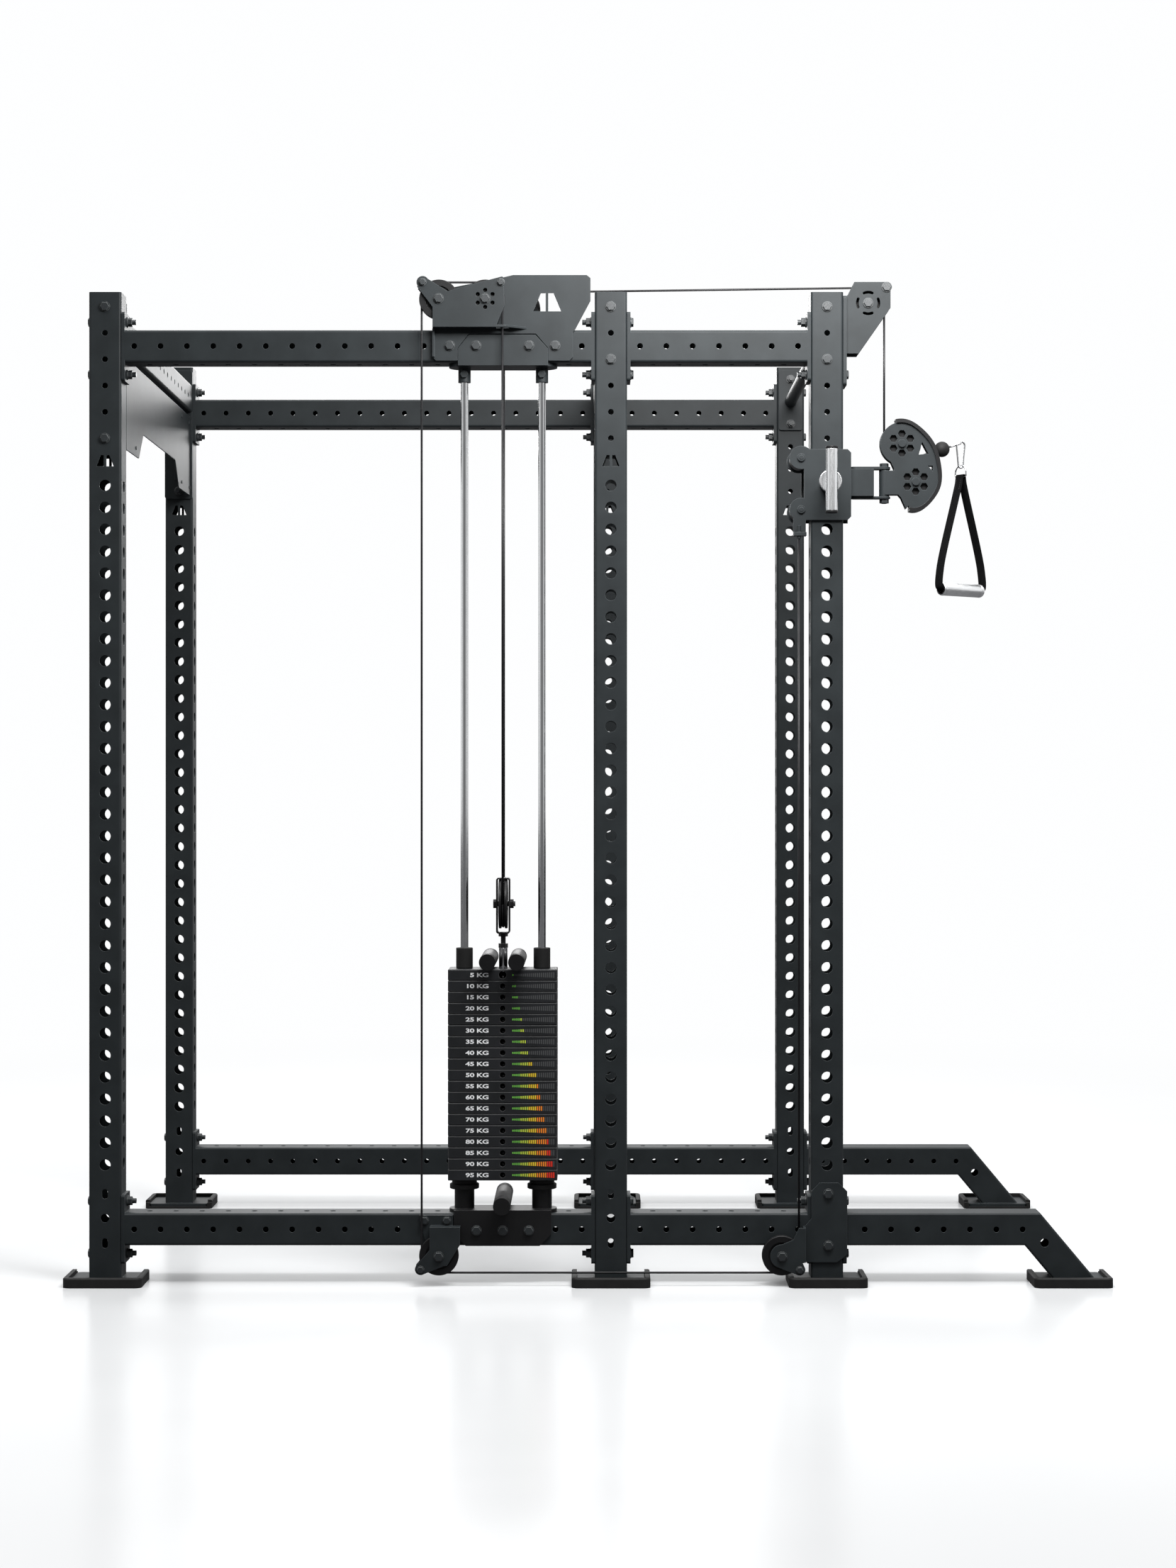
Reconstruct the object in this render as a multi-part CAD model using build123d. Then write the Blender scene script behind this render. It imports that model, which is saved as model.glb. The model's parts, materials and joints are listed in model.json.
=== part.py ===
from build123d import *
import math
import os

# Power cage with one cable station. Millimetres, +Z up. +X is the front, where the stabilisers
# and the swivel pulley are. The origin is on the floor under the middle of the whole object.

# ---- driving dimensions -------------------------------------------------------------------
TUBE = 75.0                # square tube, outside
WALL = 3.0
TUBE_R = 6.0               # outside corner radius of the tube
HALF = TUBE / 2
HEIGHT = 2300.0            # top of the uprights
BAY_DEPTH = 1155.0         # near to far upright, centre to centre
X_REAR = -1119.0           # upright centres
X_MID = 53.0
X_FRONT = 554.0
X_FOOT = 1119.0            # centre of a stabiliser's foot

HOLE_PITCH = 50.8          # big pin holes in the uprights
PIN_HOLE_R = 13.0
PIN_HOLE_TOP = 1852.0
PIN_HOLES = 32
BOLT_HOLE_R = 6.75         # M12 clearance
BOLT_PITCH = 61.0
BOLT_HOLE_TOP = 2266.0
FLANGE_T = 8.0
FLANGE_H = 160.0
TOP_BEAM_Z = 2174.5        # beam centre heights
BASE_BEAM_Z = 128.0

FOOT_X = 182.0             # rubber tray under each foot
FOOT_OUT = 48.0            # past the tube's outer face
FOOT_IN = 15.0             # past its inner face
TRAY_H = 23.0
TRAY_RIM = 12.0
PLATE_Z0 = 6.0             # foot plate lies in the tray
PLATE_Z1 = 14.0

LOCK_REACH = 134.0         # lock handle, in front of the near uprights' face
Y_NEAR = (LOCK_REACH + HALF - BAY_DEPTH - HALF - FOOT_OUT) / 2
Y_FAR = Y_NEAR + BAY_DEPTH
Y_MIDDLE = (Y_NEAR + Y_FAR) / 2

STACK_X = -197.5           # weight stack
ROD_DX = 90.25
ROD_R = 9.0
PLATE_SIZE = (253.0, 100.0, 25.4)
PLATE_PITCH = 25.7
STACK_PLATES = 19
STACK_Z0 = 243.0
TOP_PLATE_Z = STACK_Z0 + (STACK_PLATES - 1) * PLATE_PITCH
STACK_Z1 = TOP_PLATE_Z + PLATE_SIZE[2]

CABLE_R = 2.5
WRAP_R = 40.0              # cable centre line on every small pulley
PULLEY_R = 45.5
PULLEY_W = 16.0
STACK_WRAP_R = 53.0
STACK_PULLEY_R = 57.5
STACK_PULLEY_W = 20.0
STACK_PULLEY_Z = 881.0
AXLE_R = 6.0
RUN_GAP = 0.3              # between a turning part and its pin

Q_FRONT = -59.5            # plane of the front pulleys, from the near frame's centre plane
Q_REAR = 59.5              # plane of the rear head pulley
PLATE_T = 5.0
HEAD_LEFT = (-344.0, 2278.0)
HEAD_CENTRE = (-237.0, 2278.0)
REAR_HEAD = (STACK_X + WRAP_R, 2276.0)
CORNER = (650.0, 2276.0)
BASE_LEFT = (-344.0, 72.0)
BASE_RIGHT = (447.0, 72.0)

SWIVEL_X = 690.0           # swivel axis, and the cable down to it
TROLLEY_Z = PIN_HOLE_TOP
SWIVEL_UPPER = (SWIVEL_X + WRAP_R, 1952.0)
SWIVEL_LOWER = (762.0, 1863.0)
EXIT_ANGLE = 17.4          # cable leaves the swivel head this far above level
BALL_R = 18.0
GRIP_YAW = 38.0
GRIP_Z = 1612.0
GRIP_X = 872.0
GRIP_L = 130.0
GRIP_R = 15.5


# ---- small helpers ------------------------------------------------------------------------
def block(x0, x1, y0, y1, z0, z1):
    """Box between two corners."""
    centre = Pos((x0 + x1) / 2, (y0 + y1) / 2, (z0 + z1) / 2)
    return centre * Box(x1 - x0, y1 - y0, z1 - z0)


def rod_z(x, y, z0, z1, radius):
    return Pos(x, y, (z0 + z1) / 2) * Cylinder(radius, z1 - z0)


def rod_y(x, y0, y1, z, radius):
    return Pos(x, (y0 + y1) / 2, z) * Rot(90, 0, 0) * Cylinder(radius, y1 - y0)


def rod_x(x0, x1, y, z, radius):
    return Pos((x0 + x1) / 2, y, z) * Rot(0, 90, 0) * Cylinder(radius, x1 - x0)


def plate_xz(outline, q0, q1):
    """Plate parallel to XZ from a face drawn with x, z, between two offsets from the near frame."""
    return Pos(0, Y_NEAR + q1, 0) * Rot(90, 0, 0) * extrude(outline, q1 - q0)


def polygon(points):
    return make_face(Polyline(*points, close=True))


def disc(x, z, radius):
    return Pos(x, z) * Circle(radius)


def hull(*discs):
    """Convex plate outline around several (x, z, radius) circles."""
    edges = []
    for x, z, radius in discs:
        edges += disc(x, z, radius).edges()
    return make_hull(edges)


def hex_prism(across, height):
    return extrude(RegularPolygon(across / 2, 6, major_radius=False), height)


def tube_z(length):
    """Square tube standing on z = 0."""
    profile = RectangleRounded(TUBE, TUBE, TUBE_R)
    profile -= RectangleRounded(TUBE - 2 * WALL, TUBE - 2 * WALL, TUBE_R - WALL)
    return extrude(profile, length)


def tube_x(x0, x1, y, z):
    return Pos(x0, y, z) * Rot(0, 90, 0) * tube_z(x1 - x0)


def tube_y(x, y0, y1, z):
    return Pos(x, y1, z) * Rot(90, 0, 0) * tube_z(y1 - y0)


def bolt(x, y, z, turn, grip, radius=6.0, spare=11.0):
    """Hex bolt: its head is outside z = 0 of its own frame, its shank runs along local +Z."""
    head = Pos(0, 0, -7.5) * hex_prism(18.0 * radius / 6, 7.5)
    head = chamfer(head.faces().sort_by(Axis.Z)[0].edges(), 0.8)
    flange = Pos(0, 0, -1.2) * Cylinder(2.0 * radius, 2.4)
    nut_h = 10.0 * radius / 6
    shank = Pos(0, 0, (grip + nut_h + spare) / 2) * Cylinder(radius, grip + nut_h + spare)
    return Pos(x, y, z) * turn * (head + flange + shank)


def nut(x, y, z, turn, grip, radius=6.0):
    """The washer and nut that go with bolt()."""
    height = 10.0 * radius / 6
    washer = Pos(0, 0, grip + 1.2) * Cylinder(2.0 * radius, 2.4)
    body = Pos(0, 0, grip + 2.4) * hex_prism(18.0 * radius / 6, height)
    body = chamfer(body.faces().sort_by(Axis.Z)[-1].edges(), 0.8)
    bore = Pos(0, 0, grip + 10) * Cylinder(radius + 0.05, 40)
    return Pos(x, y, z) * turn * (washer + body - bore)


ALONG_Y = Rot(-90, 0, 0)   # local +Z becomes +Y
AGAINST_Y = Rot(90, 0, 0)
ALONG_X = Rot(0, 90, 0)
AGAINST_X = Rot(0, -90, 0)


def pulley(outer_r, wrap_r, width, bore_r):
    """Grooved pulley about local Z, with a hub, a thin web and six lightening holes."""
    hub_r = 15.0
    rim_in = wrap_r - 9.0
    web = width * 0.45
    body = Cylinder(outer_r, width)
    body = chamfer(body.edges(), 1.0)
    for side in (-1, 1):
        recess = Cylinder(rim_in, width) - Cylinder(hub_r, width * 2)
        body -= Pos(0, 0, side * (width + web) / 2) * recess
    groove_r = CABLE_R + 0.4
    body -= Torus(wrap_r, groove_r)
    mouth = groove_r + (outer_r - wrap_r) * math.tan(math.radians(22))
    outline = polygon([
        (wrap_r, -groove_r), (outer_r + 1, -mouth), (outer_r + 1, mouth), (wrap_r, groove_r)])
    body -= revolve(Plane.XZ * outline, Axis.Z)
    body -= Cylinder(bore_r, width * 2)
    return body


def pulley_y(x, z, q):
    """Small pulley with its axle along Y."""
    turned = Rot(90, 0, 0) * pulley(PULLEY_R, WRAP_R, PULLEY_W, AXLE_R + RUN_GAP)
    return Pos(x, Y_NEAR + q, z) * turned


def cable(points, radius):
    """Cable through corner points, with one bend radius."""
    path = FilletPolyline(*points, radius=radius) if radius else Polyline(*points)
    start = Plane(origin=path @ 0, z_dir=path % 0)
    return sweep(start * Circle(CABLE_R), path=path)


# ---- frame --------------------------------------------------------------------------------
def mark_cutout(top_z):
    """Plain lightening cut: two upright bars with slanted outer ends."""
    left = polygon([(-20, top_z - 26), (-3, top_z - 26), (-3, top_z), (-10, top_z)])
    right = polygon([(3, top_z - 26), (20, top_z - 26), (10, top_z), (3, top_z)])
    return left + right


def upright_body():
    body = Pos(0, 0, PLATE_Z1) * tube_z(HEIGHT - PLATE_Z1)
    cuts = []
    big = [Pos(0, PIN_HOLE_TOP - HOLE_PITCH * i) * Circle(PIN_HOLE_R) for i in range(PIN_HOLES)]
    small = [Pos(0, BOLT_HOLE_TOP - BOLT_PITCH * i) * Circle(BOLT_HOLE_R) for i in range(6)]
    slots = [Pos(0, z) * Rot(0, 0, 90) * SlotOverall(23.0, 13.5) for z in (210.0, 96.0)]
    access = [Pos(0, 154.0) * Circle(10.0)]
    side_bolts = [Pos(0, TOP_BEAM_Z + s * BOLT_PITCH) * Circle(BOLT_HOLE_R) for s in (-1, 1)]
    side_bolts += [Pos(0, BASE_BEAM_Z + s * BOLT_PITCH) * Circle(BOLT_HOLE_R) for s in (-1, 1)]
    for shape in big + small + slots + access + [mark_cutout(1922.0)]:
        cuts.append(Pos(0, HALF + 5, 0) * Rot(90, 0, 0) * extrude(shape, TUBE + 10))
    for shape in big + side_bolts:
        cuts.append(Rot(0, 0, 90) * Pos(0, HALF + 5, 0) * Rot(90, 0, 0) * extrude(shape, TUBE + 10))
    return body - cuts


def foot_plate(outward):
    """Steel plate under a leg; outward is -1 on the near side and 1 on the far side."""
    y_out = outward * (HALF + FOOT_OUT - TRAY_RIM - 0.5)
    y_in = -outward * (HALF + FOOT_IN - 2)
    width = FOOT_X - 2 * TRAY_RIM - 1
    plate = Pos(0, (y_out + y_in) / 2, PLATE_Z0) * extrude(
        RectangleRounded(width, abs(y_out - y_in), 8), PLATE_Z1 - PLATE_Z0)
    return plate


def foot_tray(x, y, outward):
    """Rubber tray with a rim on three sides, open towards the inside of the cage."""
    depth = TUBE + FOOT_OUT + FOOT_IN
    centre = outward * (FOOT_OUT - FOOT_IN) / 2
    tray = Pos(0, centre, 0) * extrude(RectangleRounded(FOOT_X, depth, 16), TRAY_H)
    tray = chamfer(tray.faces().sort_by(Axis.Z)[-1].edges(), 2.5)
    inner = FOOT_X - 2 * TRAY_RIM
    pocket_out = outward * (HALF + FOOT_OUT - TRAY_RIM)
    pocket_in = -outward * (HALF + FOOT_IN + 5)
    y0, y1 = sorted((pocket_out, pocket_in))
    pocket = block(-inner / 2, inner / 2, y0, y1, PLATE_Z0, TRAY_H + 5)
    lip = block(-FOOT_X, FOOT_X, *sorted((pocket_in, -outward * (HALF + FOOT_IN - 14))), 16, TRAY_H + 5)
    return Pos(x, y, 0) * (tray - pocket - lip)


def flange(x0, y, z):
    body = block(x0, x0 + FLANGE_T, y - HALF, y + HALF, z - FLANGE_H / 2, z + FLANGE_H / 2)
    body = fillet(body.edges().filter_by(Axis.X), 6)
    for side in (-1, 1):
        body -= rod_x(x0 - 1, x0 + FLANGE_T + 1, y, z + side * BOLT_PITCH, BOLT_HOLE_R)
    return body


def side_beam(x_left, x_right, y, z):
    """Side beam between two uprights, with its two welded end flanges."""
    x0 = x_left + HALF
    x1 = x_right - HALF
    body = tube_x(x0 + FLANGE_T, x1 - FLANGE_T, y, z)
    count = round((x_right - x_left - 135) / BOLT_PITCH) + 1
    holes = []
    for i in range(count):
        hole_x = x_left + 67.5 + i * BOLT_PITCH
        holes.append(rod_y(hole_x, y - HALF - 5, y + HALF + 5, z, BOLT_HOLE_R))
        if i < count - 1:
            holes.append(rod_z(hole_x + BOLT_PITCH / 2, y, z - HALF - 5, z + HALF + 5, BOLT_HOLE_R))
    return body - holes + flange(x0, y, z) + flange(x1 - FLANGE_T, y, z)


def stabiliser(y, outward):
    """Level beam that bends down to its own foot, 40 degrees from upright."""
    bend_x = 1030.8
    lean = math.radians(40)

    def outline(half, x_start, z_end):
        corner = half * math.tan(math.radians(25))
        foot = (BASE_BEAM_Z - z_end) * math.tan(lean)
        slope = half * math.sin(lean) * math.tan(lean) + half * math.cos(lean)
        return polygon([
            (x_start, BASE_BEAM_Z + half), (bend_x + corner, BASE_BEAM_Z + half),
            (bend_x + foot + slope, z_end), (bend_x + foot - slope, z_end),
            (bend_x - corner, BASE_BEAM_Z - half), (x_start, BASE_BEAM_Z - half)])

    x0 = X_FRONT + HALF
    solid = Pos(0, HALF, 0) * Rot(90, 0, 0) * extrude(outline(HALF, x0 + FLANGE_T, PLATE_Z1), TUBE)
    long_edges = solid.edges().filter_by(lambda e: abs(abs(e.center().Y) - HALF) < 0.01)
    rounded = fillet(long_edges.filter_by(lambda e: e.center().X > x0 + 10 and e.center().Z > 15), 5)
    inside = outline(HALF - WALL, x0, PLATE_Z1 - 5)
    body = rounded - Pos(0, HALF - WALL, 0) * Rot(90, 0, 0) * extrude(inside, TUBE - 2 * WALL)
    for i in range(7):
        body -= rod_y(X_FRONT + 87 + i * BOLT_PITCH, -50, 50, BASE_BEAM_Z, BOLT_HOLE_R)
    body -= rod_y(1058, -50, 50, 97, 10.0)
    body += flange(x0, 0, BASE_BEAM_Z)
    body += Pos(X_FOOT, 0, 0) * foot_plate(outward)
    return Pos(0, y, 0) * body


def end_plate_y(x, y0, z0, z1, bolts, width=TUBE):
    """Plate against an upright's inner face, with its bolt holes."""
    body = block(x - width / 2, x + width / 2, y0, y0 + FLANGE_T, z0, z1)
    body = fillet(body.edges().filter_by(Axis.Y), 6)
    for z in bolts:
        body -= rod_y(x, y0 - 1, y0 + FLANGE_T + 1, z, BOLT_HOLE_R)
    return body


Y_IN0 = Y_NEAR + HALF      # inner faces of the near and far uprights
Y_IN1 = Y_FAR - HALF
REAR_BOLTS = (BOLT_HOLE_TOP, BOLT_HOLE_TOP - 5 * BOLT_PITCH)
MID_BOLTS = (BOLT_HOLE_TOP, BOLT_HOLE_TOP - 2 * BOLT_PITCH)


def crossmember(x, z, plate_z0, plate_z1, bolts):
    body = tube_y(x, Y_IN0 + FLANGE_T, Y_IN1 - FLANGE_T, z)
    for i in range(16):
        y = Y_MIDDLE + (i - 7.5) * BOLT_PITCH
        body -= rod_x(x - 50, x + 50, y, z, BOLT_HOLE_R)
    body += end_plate_y(x, Y_IN0, plate_z0, plate_z1, bolts)
    body += end_plate_y(x, Y_IN1 - FLANGE_T, plate_z0, plate_z1, bolts)
    return body


def name_panel():
    """Sheet panel under the rear crossmember, with lower end lobes and folded ears."""
    sheet_x = -1090.0
    sheet_t = 3.0
    half = BAY_DEPTH / 2 - HALF - FLANGE_T
    top, low, high = 2163.0, 1948.0, 2014.0
    outline = polygon([
        (-half, top), (half, top), (half, low), (half - 205, low), (half - 272, high),
        (-half + 272, high), (-half + 205, low), (-half, low)])
    lobes = outline.vertices().filter_by(lambda v: v.Y < high + 1)
    outline = fillet(lobes, 8)
    turned = Rot(0, 0, 90) * Rot(90, 0, 0) * extrude(outline, sheet_t)
    body = Pos(sheet_x, Y_MIDDLE, 0) * turned
    for side in (-1, 1):
        y0, y1 = sorted((Y_MIDDLE + side * half, Y_MIDDLE + side * (half - sheet_t)))
        body += block(sheet_x - 40, sheet_x + sheet_t, y0, y1, low + 45, top)
    body += block(sheet_x - 18, sheet_x + sheet_t, Y_MIDDLE - half, Y_MIDDLE + half, top - sheet_t, top)
    rivets = []
    for side in (-1, 1):
        for z in (1968.0, 2143.0):
            for inset in (20.0, 160.0):
                y = Y_MIDDLE + side * (half - inset)
                rivets.append(Pos(sheet_x + sheet_t, y, z) * Rot(0, 90, 0) * Cylinder(4.5, 4.0))
    return body + rivets


def pull_up_bar():
    """Round bar between the front uprights, welded to an end plate at each end."""
    bar_r = 16.0
    body = rod_y(X_FRONT, Y_IN0 + FLANGE_T, Y_IN1 - FLANGE_T, 2206.0, bar_r)
    body += end_plate_y(X_FRONT, Y_IN0, 2127.0, 2290.0, MID_BOLTS, 64.0)
    body += end_plate_y(X_FRONT, Y_IN1 - FLANGE_T, 2127.0, 2290.0, MID_BOLTS, 64.0)
    return body


def frame_fasteners():
    """Bolts and nuts of the cage: through the flanges along X, and through the end plates along Y."""
    bolts = []
    nuts = []

    def add(x, y, z, turn, grip):
        bolts.append(bolt(x, y, z, turn, grip))
        nuts.append(nut(x, y, z, turn, grip))

    for y in (Y_NEAR, Y_FAR):
        for z in (TOP_BEAM_Z - BOLT_PITCH, TOP_BEAM_Z + BOLT_PITCH,
                  BASE_BEAM_Z - BOLT_PITCH, BASE_BEAM_Z + BOLT_PITCH):
            add(X_REAR - HALF, y, z, ALONG_X, TUBE + FLANGE_T)
            add(X_MID + HALF + FLANGE_T, y, z, AGAINST_X, TUBE + 2 * FLANGE_T)
            flanged = z < HEIGHT / 2 or y == Y_NEAR
            extra = FLANGE_T if flanged else 0.0
            add(X_FRONT + HALF + extra, y, z, AGAINST_X, TUBE + FLANGE_T + extra)
    for x, heights in ((X_REAR, REAR_BOLTS), (X_MID, MID_BOLTS), (X_FRONT, MID_BOLTS)):
        for z in heights:
            add(x, Y_NEAR - HALF, z, ALONG_Y, TUBE + FLANGE_T)
            add(x, Y_FAR + HALF, z, AGAINST_Y, TUBE + FLANGE_T)
    return bolts, nuts


# ---- weight stack -------------------------------------------------------------------------
def weight_plate(z0, front_hole_r):
    width, depth, height = PLATE_SIZE
    body = Box(width, depth, height)
    body = chamfer(body.edges(), 1.5)
    for side in (-1, 1):
        body -= Pos(side * ROD_DX, 0, 0) * Cylinder(ROD_R + 0.6, height + 2)
    body -= Cylinder(10.6, height + 2)
    body -= Pos(0, -depth / 4, 0) * Rot(90, 0, 0) * Cylinder(front_hole_r, depth / 2 + 0.1)
    return Pos(STACK_X, Y_NEAR, z0 + height / 2) * body


def band_peg(x, z, radius, q0, q1):
    """Round peg with end flanges and shallow grooves, along Y."""
    body = rod_y(x, Y_NEAR + q0, Y_NEAR + q1, z, radius)
    for i in range(4):
        for end, step in ((q0, 1), (q1, -1)):
            q = end + step * (9 + i * 9.0)
            ring = rod_y(x, Y_NEAR + q - 2, Y_NEAR + q + 2, z, radius + 1)
            body -= ring - rod_y(x, Y_NEAR + q - 3, Y_NEAR + q + 3, z, radius - 2.5)
    return body


def stack_base():
    """Plate on the base beam with its front skirt, the two rod posts and the lower band peg."""
    top = BASE_BEAM_Z + HALF
    plate = Pos(STACK_X, Y_NEAR, top) * extrude(SlotOverall(250.0, TUBE), 8.0)
    skirt_outline = polygon([
        (-310, top + 8), (-85, top + 8), (-85, 118), (-112, 91), (-283, 91), (-310, 118)])
    skirt = plate_xz(skirt_outline, -HALF - 8, -HALF)
    posts = []
    for side in (-1, 1):
        x = STACK_X + side * ROD_DX
        posts.append(rod_z(x, Y_NEAR, top + 8, 219, 23.0) - rod_z(x, Y_NEAR, top + 8, 220, ROD_R + 0.1))
    body = plate + skirt
    for x in (STACK_X - 60.5, STACK_X, STACK_X + 60.5):
        body -= rod_y(x, Y_NEAR - HALF - 9, Y_NEAR - HALF, BASE_BEAM_Z - 1, BOLT_HOLE_R)
    peg = band_peg(STACK_X, top + 8 + 20.2, 20.0, -122.5, 122.5)
    return [body] + posts + [peg]


def stack_buffers():
    """Steel ring and rubber buffer on each post."""
    parts = []
    for side in (-1, 1):
        x = STACK_X + side * ROD_DX
        bore = rod_z(x, Y_NEAR, 200, 250, ROD_R + 0.1)
        ring = chamfer(rod_z(x, Y_NEAR, 219, 230, 34.0).edges(), 1.0)
        parts.append(ring - bore)
        rubber = fillet(rod_z(x, Y_NEAR, 230, STACK_Z0, 29.0).edges(), 2.0)
        parts.append(rubber - bore)
    return parts


def guide_rods():
    return [rod_z(STACK_X + side * ROD_DX, Y_NEAR, 174, 2126, ROD_R) for side in (-1, 1)]


SOCKET_R = 14.5
SOCKET_SCREW_Z = 2113.0


def rod_top_bracket():
    """Plate under the top beam with a trapezoid face plate and the two rod sockets."""
    under = TOP_BEAM_Z - HALF
    base = Pos(STACK_X, Y_NEAR, under - 8) * extrude(SlotOverall(252.0, TUBE), 8.0)
    face = polygon([
        (-301, under - 8), (-92.6, under - 8), (-92.6, 2168), (-122, 2200), (-275, 2200), (-301, 2168)])
    body = base + plate_xz(face, -HALF - 6, -HALF)
    for x in (STACK_X - 61.5, STACK_X + 61.2):
        body -= rod_y(x, Y_NEAR - HALF - 7, Y_NEAR - HALF, TOP_BEAM_Z, BOLT_HOLE_R)
    parts = []
    for side in (-1, 1):
        x = STACK_X + side * ROD_DX
        body -= rod_z(x, Y_NEAR, under - 9, under + 1, ROD_R + 0.1)
        socket = rod_z(x, Y_NEAR, 2095, under - 8, SOCKET_R) - rod_z(x, Y_NEAR, 2094, 2130, ROD_R + 0.1)
        body += socket
        for out, q_head, q_tip in ((-1, -SOCKET_R - 5.0, -ROD_R - 0.3), (1, SOCKET_R + 5.0, ROD_R + 0.3)):
            q0, q1 = sorted((q_head, q_tip))
            screw = rod_y(x, Y_NEAR + q0, Y_NEAR + q1, SOCKET_SCREW_Z, 4.0)
            head_q = q_head if out < 0 else SOCKET_R - 0.5
            screw += Pos(x, Y_NEAR + head_q, SOCKET_SCREW_Z) * ALONG_Y * hex_prism(16.0, 5.5)
            parts.append(screw)
    return [body - parts] + parts


def lifting_stem():
    """Selector stem through the stack, with the nut and stud that carry the yoke."""
    body = rod_z(STACK_X, Y_NEAR, STACK_Z0, 778.6, 10.0)
    for i in range(STACK_PLATES):
        z = STACK_Z0 + i * PLATE_PITCH + PLATE_SIZE[2] / 2
        body -= rod_y(STACK_X, Y_NEAR - 12, Y_NEAR + 12, z, 5.0)
    body += rod_z(STACK_X, Y_NEAR, 778.6, 811.8, 5.75)
    body += Pos(STACK_X, Y_NEAR, 778.6) * hex_prism(19.0, 10.1)
    body += Pos(STACK_X, Y_NEAR, 805.0) * hex_prism(19.0, 6.8)
    return body


def head_bumpers():
    parts = []
    for side in (-1, 1):
        x = STACK_X + side * ROD_DX
        rubber = fillet(rod_z(x, Y_NEAR, STACK_Z1, 779, 19.5).edges(), 2.0)
        parts.append(rubber - rod_z(x, Y_NEAR, STACK_Z1 - 1, 780, ROD_R + 0.6))
    return parts


def pulley_yoke():
    """Flat bar loop around the stack pulley, with the pulley's axle bolt."""
    z0, z1, width, bar = 812.0, 942.0, 32.5, 3.5
    centre = (z0 + z1) / 2
    outline = Pos(STACK_X, centre) * (
        RectangleRounded(width, z1 - z0, 6) - RectangleRounded(width - 2 * bar, z1 - z0 - 2 * bar, 3))
    body = plate_xz(outline, -19, 19)
    body -= rod_x(STACK_X - 20, STACK_X + 20, Y_NEAR, STACK_PULLEY_Z, AXLE_R + 0.05)
    axle = rod_x(STACK_X - 20, STACK_X + 28, Y_NEAR, STACK_PULLEY_Z, AXLE_R)
    head = Pos(STACK_X - width / 2 - 7, Y_NEAR, STACK_PULLEY_Z) * ALONG_X * hex_prism(18.0, 7.0)
    axle_nut = Pos(STACK_X + width / 2, Y_NEAR, STACK_PULLEY_Z) * ALONG_X * hex_prism(18.0, 8.0)
    return [body, axle + head + axle_nut]


# ---- pulley carriages and brackets --------------------------------------------------------
FRONT_PLATE_Q = Q_FRONT - PULLEY_W / 2 - 3 - PLATE_T     # near face of the front plates
BEAM_Q = -HALF             # near face of the near frame
BACK_T = 6.0
HEAD_SPACERS = ((-380.8, 2315.7), (-200.6, 2315.7))
BASE_LEFT_SPACER = (-385.7, 42.0)
BASE_RIGHT_SPACER = (487.5, 41.0)
BASE_LEFT_SCREWS = (-378.0, -327.0)
CORNER_SPACER = (693.0, 2313.0)
SPACER_R = 4.5


def axle_hole(x, z, radius):
    """Bore along Y through both plates of a front bracket."""
    return rod_y(x, Y_NEAR + FRONT_PLATE_Q - 1, Y_NEAR + BEAM_Q + 1, z, radius + 0.05)


def carriage_arm():
    """Outline of the plate that carries the two head pulleys, with its spacer lug."""
    arm = polygon([
        (-358, 2213), (-358, 2259), (-394, 2306), (-368, 2323), (-323, 2294.5), (-308, 2300),
        (-198, 2329), (-195, 2327), (-192, 2263), (-213, 2213)])
    return arm + disc(*HEAD_SPACERS[0], 14.2)


def head_back_plate():
    """Back plate on the top beam's near face, up to the plain cut-out at its right."""
    upper = polygon([
        (-360, 2300), (-199, 2332), (-173, 2338), (-3, 2338), (5.7, 2331), (5.7, 2279),
        (-29.5, 2213), (-35, 2206), (-35, 2148), (-43, 2140), (-92, 2140), (-92, 2169), (-121, 2202.5),
        (-276, 2202.5), (-302, 2169), (-302, 2140), (-352, 2140), (-360, 2148)])
    outline = upper + carriage_arm()
    outline -= polygon([(-127, 2254), (-98, 2254), (-98, 2297), (-109, 2297)])
    outline -= polygon([(-92, 2254), (-62, 2254), (-80, 2297), (-92, 2297)])
    body = plate_xz(outline, BEAM_Q - BACK_T, BEAM_Q)
    body += block(-360, -355, Y_NEAR + BEAM_Q - 16, Y_NEAR + BEAM_Q, 2148, 2213)
    for x, z in (HEAD_LEFT, HEAD_CENTRE, (-320, TOP_BEAM_Z), (-76, TOP_BEAM_Z)):
        body -= axle_hole(x, z, AXLE_R)
    for x, z in HEAD_SPACERS:
        body -= axle_hole(x, z, SPACER_R)
    return body


def head_front_plate():
    """Front plate and the shelf that folds back from its foot, with the cable's slot."""
    outline = carriage_arm()
    for i in range(6):
        angle = math.radians(30 + 60 * i)
        x = HEAD_CENTRE[0] + 19.6 * math.cos(angle)
        z = HEAD_CENTRE[1] + 19.6 * math.sin(angle)
        outline -= disc(x, z, 5.0)
    body = plate_xz(outline, FRONT_PLATE_Q, FRONT_PLATE_Q + PLATE_T)
    y0 = Y_NEAR + FRONT_PLATE_Q
    y1 = Y_NEAR + BEAM_Q - BACK_T
    shelf = make_face(Polyline((-358, y0), (-190, y0), (-142, y1), (-358, y1), close=True))
    shelf = Pos(0, 0, 2213) * extrude(shelf, PLATE_T)
    body += shelf - Pos(-197, Y_NEAR + Q_FRONT, 2215) * Box(30, 14, 20)
    for x, z in (HEAD_LEFT, HEAD_CENTRE):
        body -= axle_hole(x, z, AXLE_R)
    for x, z in HEAD_SPACERS:
        body -= axle_hole(x, z, SPACER_R)
    return body


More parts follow.
